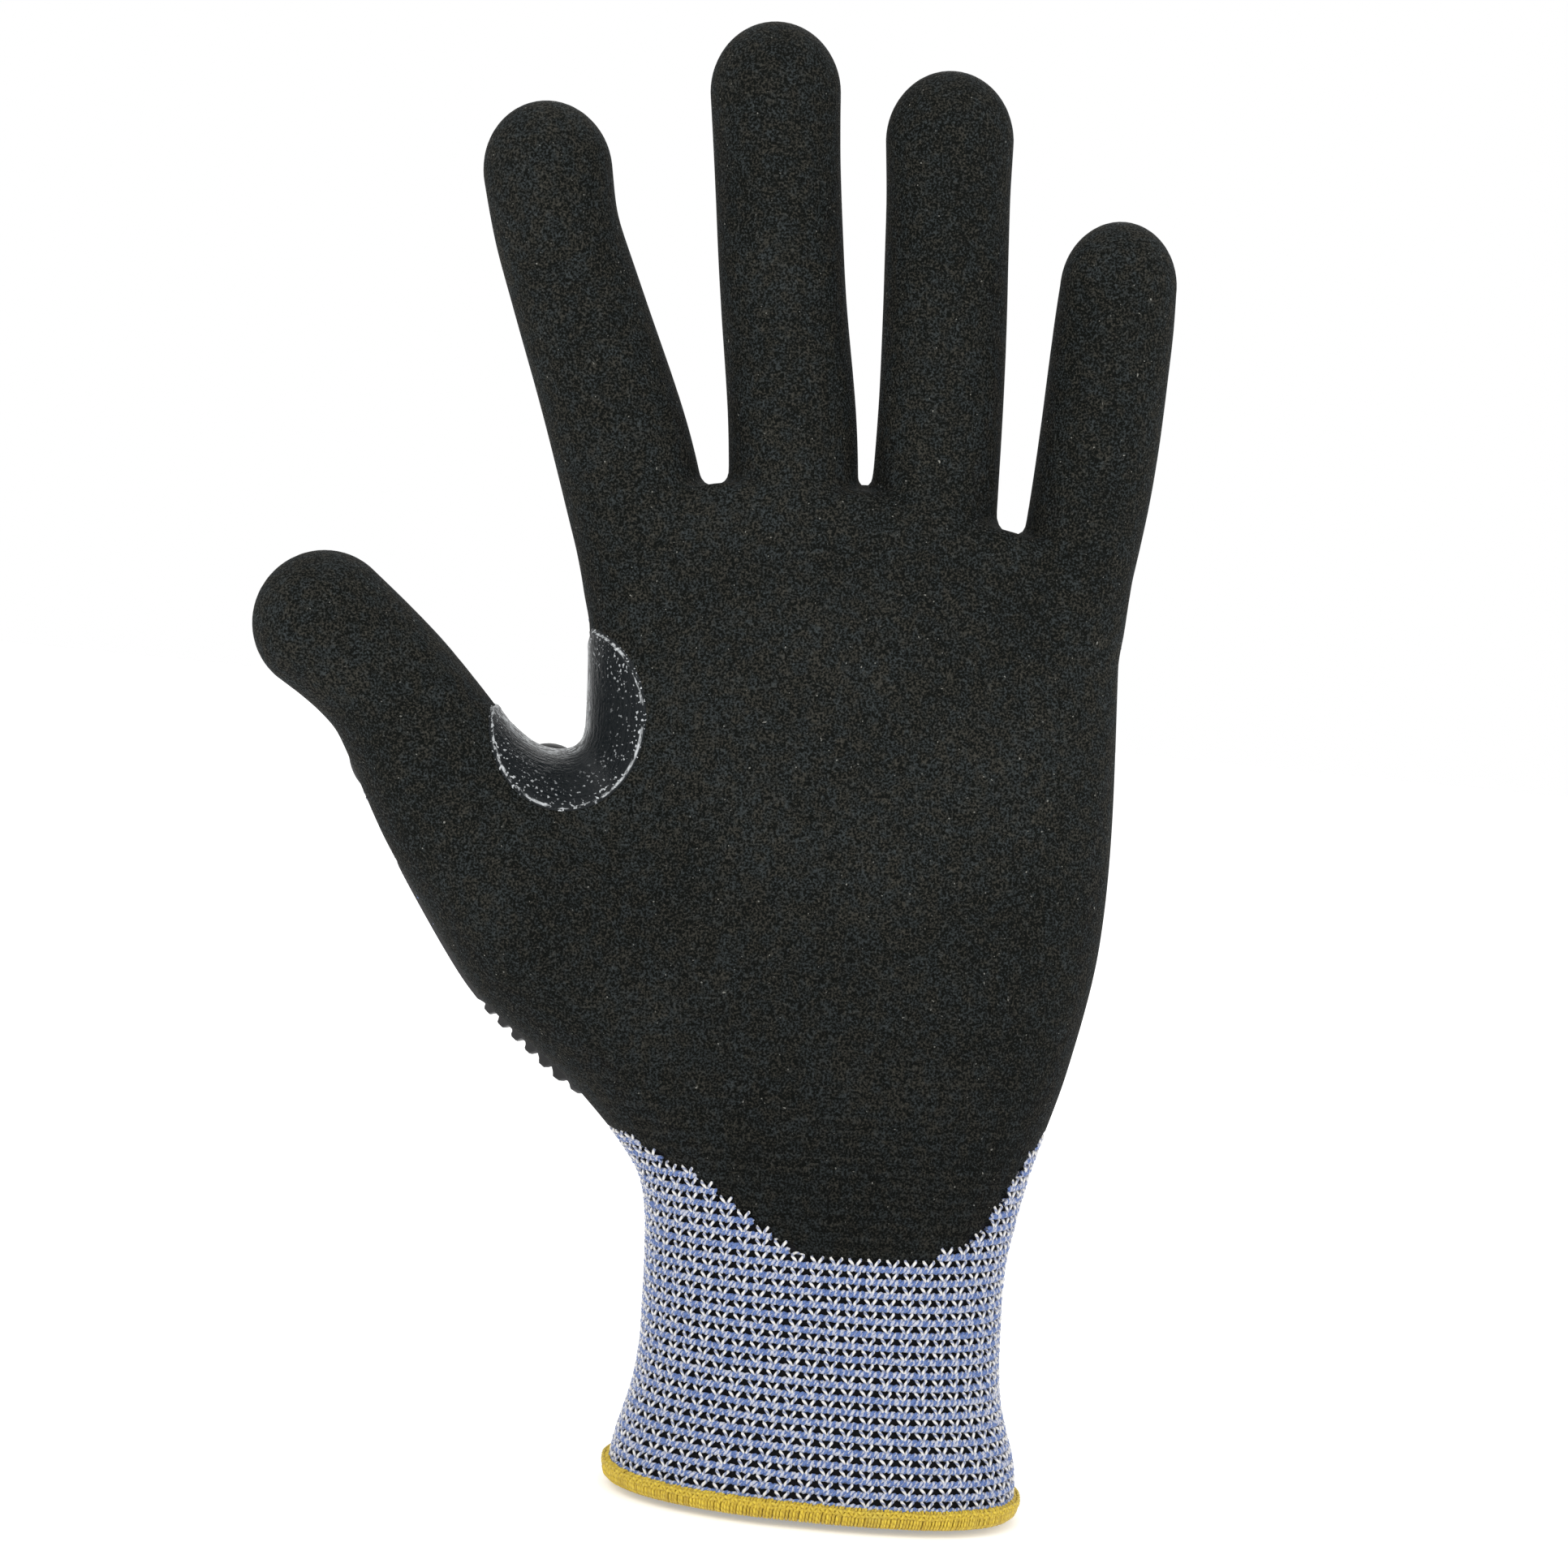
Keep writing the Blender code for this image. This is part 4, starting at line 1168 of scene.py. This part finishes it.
def rubber_material():
    """Satin moulded rubber with a fine spark texture."""
    m = Nodes("moulded_rubber")
    rest = m.attribute("rest", "Vector")
    fine = m.noise(rest, 3.0, 2.0)
    wear = m.noise(rest, 0.12, 3.0)
    colour = m.mix(wear, (0.0070, 0.0070, 0.0074, 1.0), (0.0150, 0.0150, 0.0155, 1.0))
    rough = m.span(wear, 0.3, 0.7, 0.42, 0.55)
    normal = m.bump(fine, 0.35, 0.06)
    return m.finish(Base_Color=colour, Roughness=rough, Normal=normal, Specular_IOR_Level=0.28)


# ---------------------------------------------------------------- assembly

# Levels of the layers above the outside of the glove
LINER_OUT, LINER_IN = -0.95, -1.7
COAT_IN = -0.75
COAT_DIVE = 0.55  # how far the coating's edge sinks into the knit


def split(faces, segment, chosen=True):
    """Faces that belong to a segment, among those chosen."""
    for number, name in enumerate(SEGMENTS):
        part = faces[chosen & (segment == number)]
        if len(part):
            yield name, part


def build_glove():
    """Every piece of the glove."""
    points, faces = surface_net(SPACING)
    points, _ = settle(points, rounds=2)
    near_cut = np.abs(points[:, 2] - HEM_CUT) < 0.5 * SPACING
    points[near_cut, 2] = HEM_CUT
    faces = faces[points[faces][:, :, 2].mean(1) > HEM_CUT + 0.01]
    measure = snap(points, coat_measure, 0.42 * SPACING)
    normals = slope(points)
    centres = points[faces].mean(1)
    segment = segment_of(centres)
    covered = measure[faces].mean(1) < 0.0

    coating, ground, rubber = coating_material(), ground_material(), rubber_material()
    dive = COAT_DIVE * (1.0 - ease(-measure / (1.2 * SPACING))) + 0.02
    outer = points - normals * dive[:, None]
    inner = points + normals * COAT_IN
    outer_n = vertex_normals(outer, faces[covered])
    for name, part in split(faces, segment, covered):
        obj = shell(f"{name}_nitrile", outer, inner, outer_n, part, coating)
        attach(obj, name)
        if name == "hand":
            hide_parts("palm_coating")
        elif name != "wrist":
            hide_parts(f"{name}_coating")

    outer = points + normals * LINER_OUT
    inner = points + normals * LINER_IN
    for name, part in split(faces, segment):
        obj = shell(f"{name}_ground", outer, inner, normals, part, ground)
        attach(obj, name)
        if name == "wrist":
            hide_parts("cuff_liner", "wrist_fold_palm", "wrist_fold_back")
        else:
            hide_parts(f"{name}_liner")

    build_patch()
    digit_pads(rubber)
    knuckle_pad(rubber)
    metacarpal_pad(rubber)
    thumb_edge_pad(rubber)
    web_tab(rubber)
    make_hem(hem_material())
    yarn = yarn_material()
    table, table_n = hand_table()
    make_knit(table, table_n, (0, 1), yarn)
    for name in BONES:
        table, table_n = digit_table(name)
        numbers = [SEGMENTS.index(f"{name}_{bone}") for bone in BONES[name]]
        make_knit(table, table_n, numbers, yarn)


PATCH_CENTRE = np.array((-44.4, 121.7))
PATCH_RADII = np.array((12.2, 14.5))
PATCH_LEVEL = 0.3


def patch_radius(angle):
    """From the middle of the patch's oval outline to its rim."""
    return 1.0 / np.hypot(np.cos(angle) / PATCH_RADII[0], np.sin(angle) / PATCH_RADII[1])


def patch_grid():
    """Places on the thumb crotch: columns round it, rows from its back over its edge to the palm."""
    angle = known = np.radians(np.arange(150.0, 440.0, 1.6))
    reach = np.arange(0.0, 16.0, 0.15)
    depth = np.arange(-9.0, 6.1, 1.0)
    grid = np.stack(np.meshgrid(angle, depth, reach, indexing="ij"), -1).reshape(-1, 3)
    p = np.stack([PATCH_CENTRE[0] + grid[:, 2] * np.cos(grid[:, 0]), grid[:, 1],
                  PATCH_CENTRE[1] + grid[:, 2] * np.sin(grid[:, 0])], 1)
    solid = (distance(p) < 0.0).reshape(len(angle), len(depth), len(reach))
    first = np.where(solid.any(2), reach[solid.argmax(2)], 99.0)
    edge, at = first.min(1), depth[first.argmin(1)]
    inside = np.flatnonzero(edge < patch_radius(known) - 0.25)
    angle = np.linspace(known[inside[0]], known[inside[-1]], 170)
    edge = np.interp(angle, known[inside], smoothed(edge[inside], 1.0, 2.0))
    at = np.interp(angle, known[inside], smoothed(at[inside], 1.0, 4.0))
    way = np.stack([np.cos(angle), 0 * angle, np.sin(angle)], 1)
    centre = np.array((PATCH_CENTRE[0], 0.0, PATCH_CENTRE[1]))
    back = centre + way * (edge + 1.6)[:, None] + np.array((0, 1, 0)) * (at + 6.0)[:, None]
    fold = centre + way * edge[:, None] + np.array((0, 1, 0)) * at[:, None]
    front = centre + way * patch_radius(angle)[:, None] - np.array((0.0, 24.0, 0.0))
    for _ in range(12):
        front[:, 1] -= distance(front) / np.minimum(slope(front)[:, 1], -0.35)
    v = np.linspace(0.0, 1.0, 44)[:, None, None]
    bend = 2.0 * fold - (back + front) / 2.0
    points = back * (1 - v) ** 2 + bend * 2 * v * (1 - v) + front * v * v
    flat, normal = settle(points.reshape(-1, 3), rounds=5)
    points, normal = flat.reshape(points.shape), normal.reshape(points.shape)
    run = run_length(points[22])
    down = np.linalg.norm(np.diff(points, axis=0), axis=2)[::-1].cumsum(0)[::-1]
    rim = np.concatenate([down, np.zeros((1, len(angle)))])
    ends = np.minimum(run, run[-1] - run)
    lie = np.abs(rim - rim[22])
    return points, normal, np.stack([np.broadcast_to(run, rim.shape), np.minimum(rim, ends), lie], -1)


def build_patch():
    """The reinforcement of the thumb crotch, thin at its rim with a bead just inside it."""
    points, normal, seam = patch_grid()
    rows, columns, _ = points.shape
    place, way, seam = points.reshape(-1, 3), normal.reshape(-1, 3), seam.reshape(-1, 3)
    bead = 0.14 * np.exp(-(((seam[:, 1] - 0.7) / 0.35) ** 2))
    outer = place + way * (PATCH_LEVEL * (0.1 + 0.9 * ease(seam[:, 1] / 0.45)) + bead)[:, None]
    quads = sheet_quads(rows, columns, outer, way)
    normals = vertex_normals(outer, quads)
    segment = segment_of(place[quads].mean(1))
    material = patch_material()
    for name, part in split(quads, segment):
        inner = place - way * SKIN
        obj = shell(f"{name}_crotch_patch", outer, inner, normals, part, material, {"seam": seam})
        attach(obj, name)
        if name == "hand":
            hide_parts("thumb_crotch_patch")


build_glove()

# ---------------------------------------------------------------- floor, light and camera

VIEW_WIDTH = 248.5  # of the picture, at the glove
FLOOR, FLOOR_HALF = -1.0, 9000.0
LIGHT_AIM = (0.0, 0.0, 0.11)
ROLL = math.radians(3.0)
ELEVATION = math.radians(1.75)


def make_stage():
    """A wide pale floor."""
    corners = np.array(((-1, -1, 0), (1, -1, 0), (1, 1, 0), (-1, 1, 0)), float)
    points = corners * FLOOR_HALF + np.array((0.0, 0.0, FLOOR))
    faces = np.array(((0, 1, 2, 3),))
    m = Nodes("pale_floor")
    paper = m.noise(m.attribute("rest", "Vector"), 0.4, 2.0)
    colour = m.mix(paper, (0.86, 0.86, 0.86, 1.0), (0.88, 0.88, 0.88, 1.0))
    material = m.finish(Base_Color=colour, Roughness=0.9, Specular_IOR_Level=0.1,
                        Emission_Color=(1.0, 1.0, 1.0, 1.0), Emission_Strength=0.35)
    make_mesh("floor", points, faces, material)


def add_light(name, place, size, power):
    """A square soft light, in metres and watts."""
    light = bpy.data.lights.new(name, "AREA")
    light.energy, light.size = power, size
    obj = bpy.data.objects.new(name, light)
    obj.location = place
    obj.rotation_euler = (Vector(LIGHT_AIM) - Vector(place)).to_track_quat("-Z", "Y").to_euler()
    bpy.context.scene.collection.objects.link(obj)


def make_camera():
    """A camera in front of the palm, slightly above level and rolled a few degrees."""
    data = bpy.data.cameras.new("camera")
    data.sensor_width = 36.0
    data.lens = data.sensor_width * VIEW_DISTANCE / VIEW_WIDTH
    data.clip_start, data.clip_end = 0.01, 20.0
    cam = bpy.data.objects.new("camera", data)
    back = Vector((0.0, -math.cos(ELEVATION), math.sin(ELEVATION)))
    right = Vector((math.cos(ROLL), 0.0, math.sin(ROLL)))
    up = back.cross(right).normalized()
    right = up.cross(back)
    cam.matrix_world = Matrix((right, up, back)).transposed().to_4x4()
    cam.location = (Vector(VIEW_CENTRE) + back * VIEW_DISTANCE) * MM
    bpy.context.scene.collection.objects.link(cam)
    bpy.context.scene.camera = cam


make_stage()
add_light("key", (-0.5, -0.9, 0.9), 0.8, 4.5)
add_light("fill", (0.8, -0.8, 0.4), 1.0, 2.5)
add_light("back", (0.2, 0.9, 1.0), 0.8, 3.0)
make_camera()

world = bpy.data.worlds.new("studio")
bpy.context.scene.world = world
world.use_nodes = True
world.node_tree.nodes["Background"].inputs[0].default_value = (1.0, 1.0, 1.0, 1.0)
world.node_tree.nodes["Background"].inputs[1].default_value = 1.0
bpy.context.scene.view_settings.view_transform = "Standard"
bpy.context.scene.view_settings.look = "None"
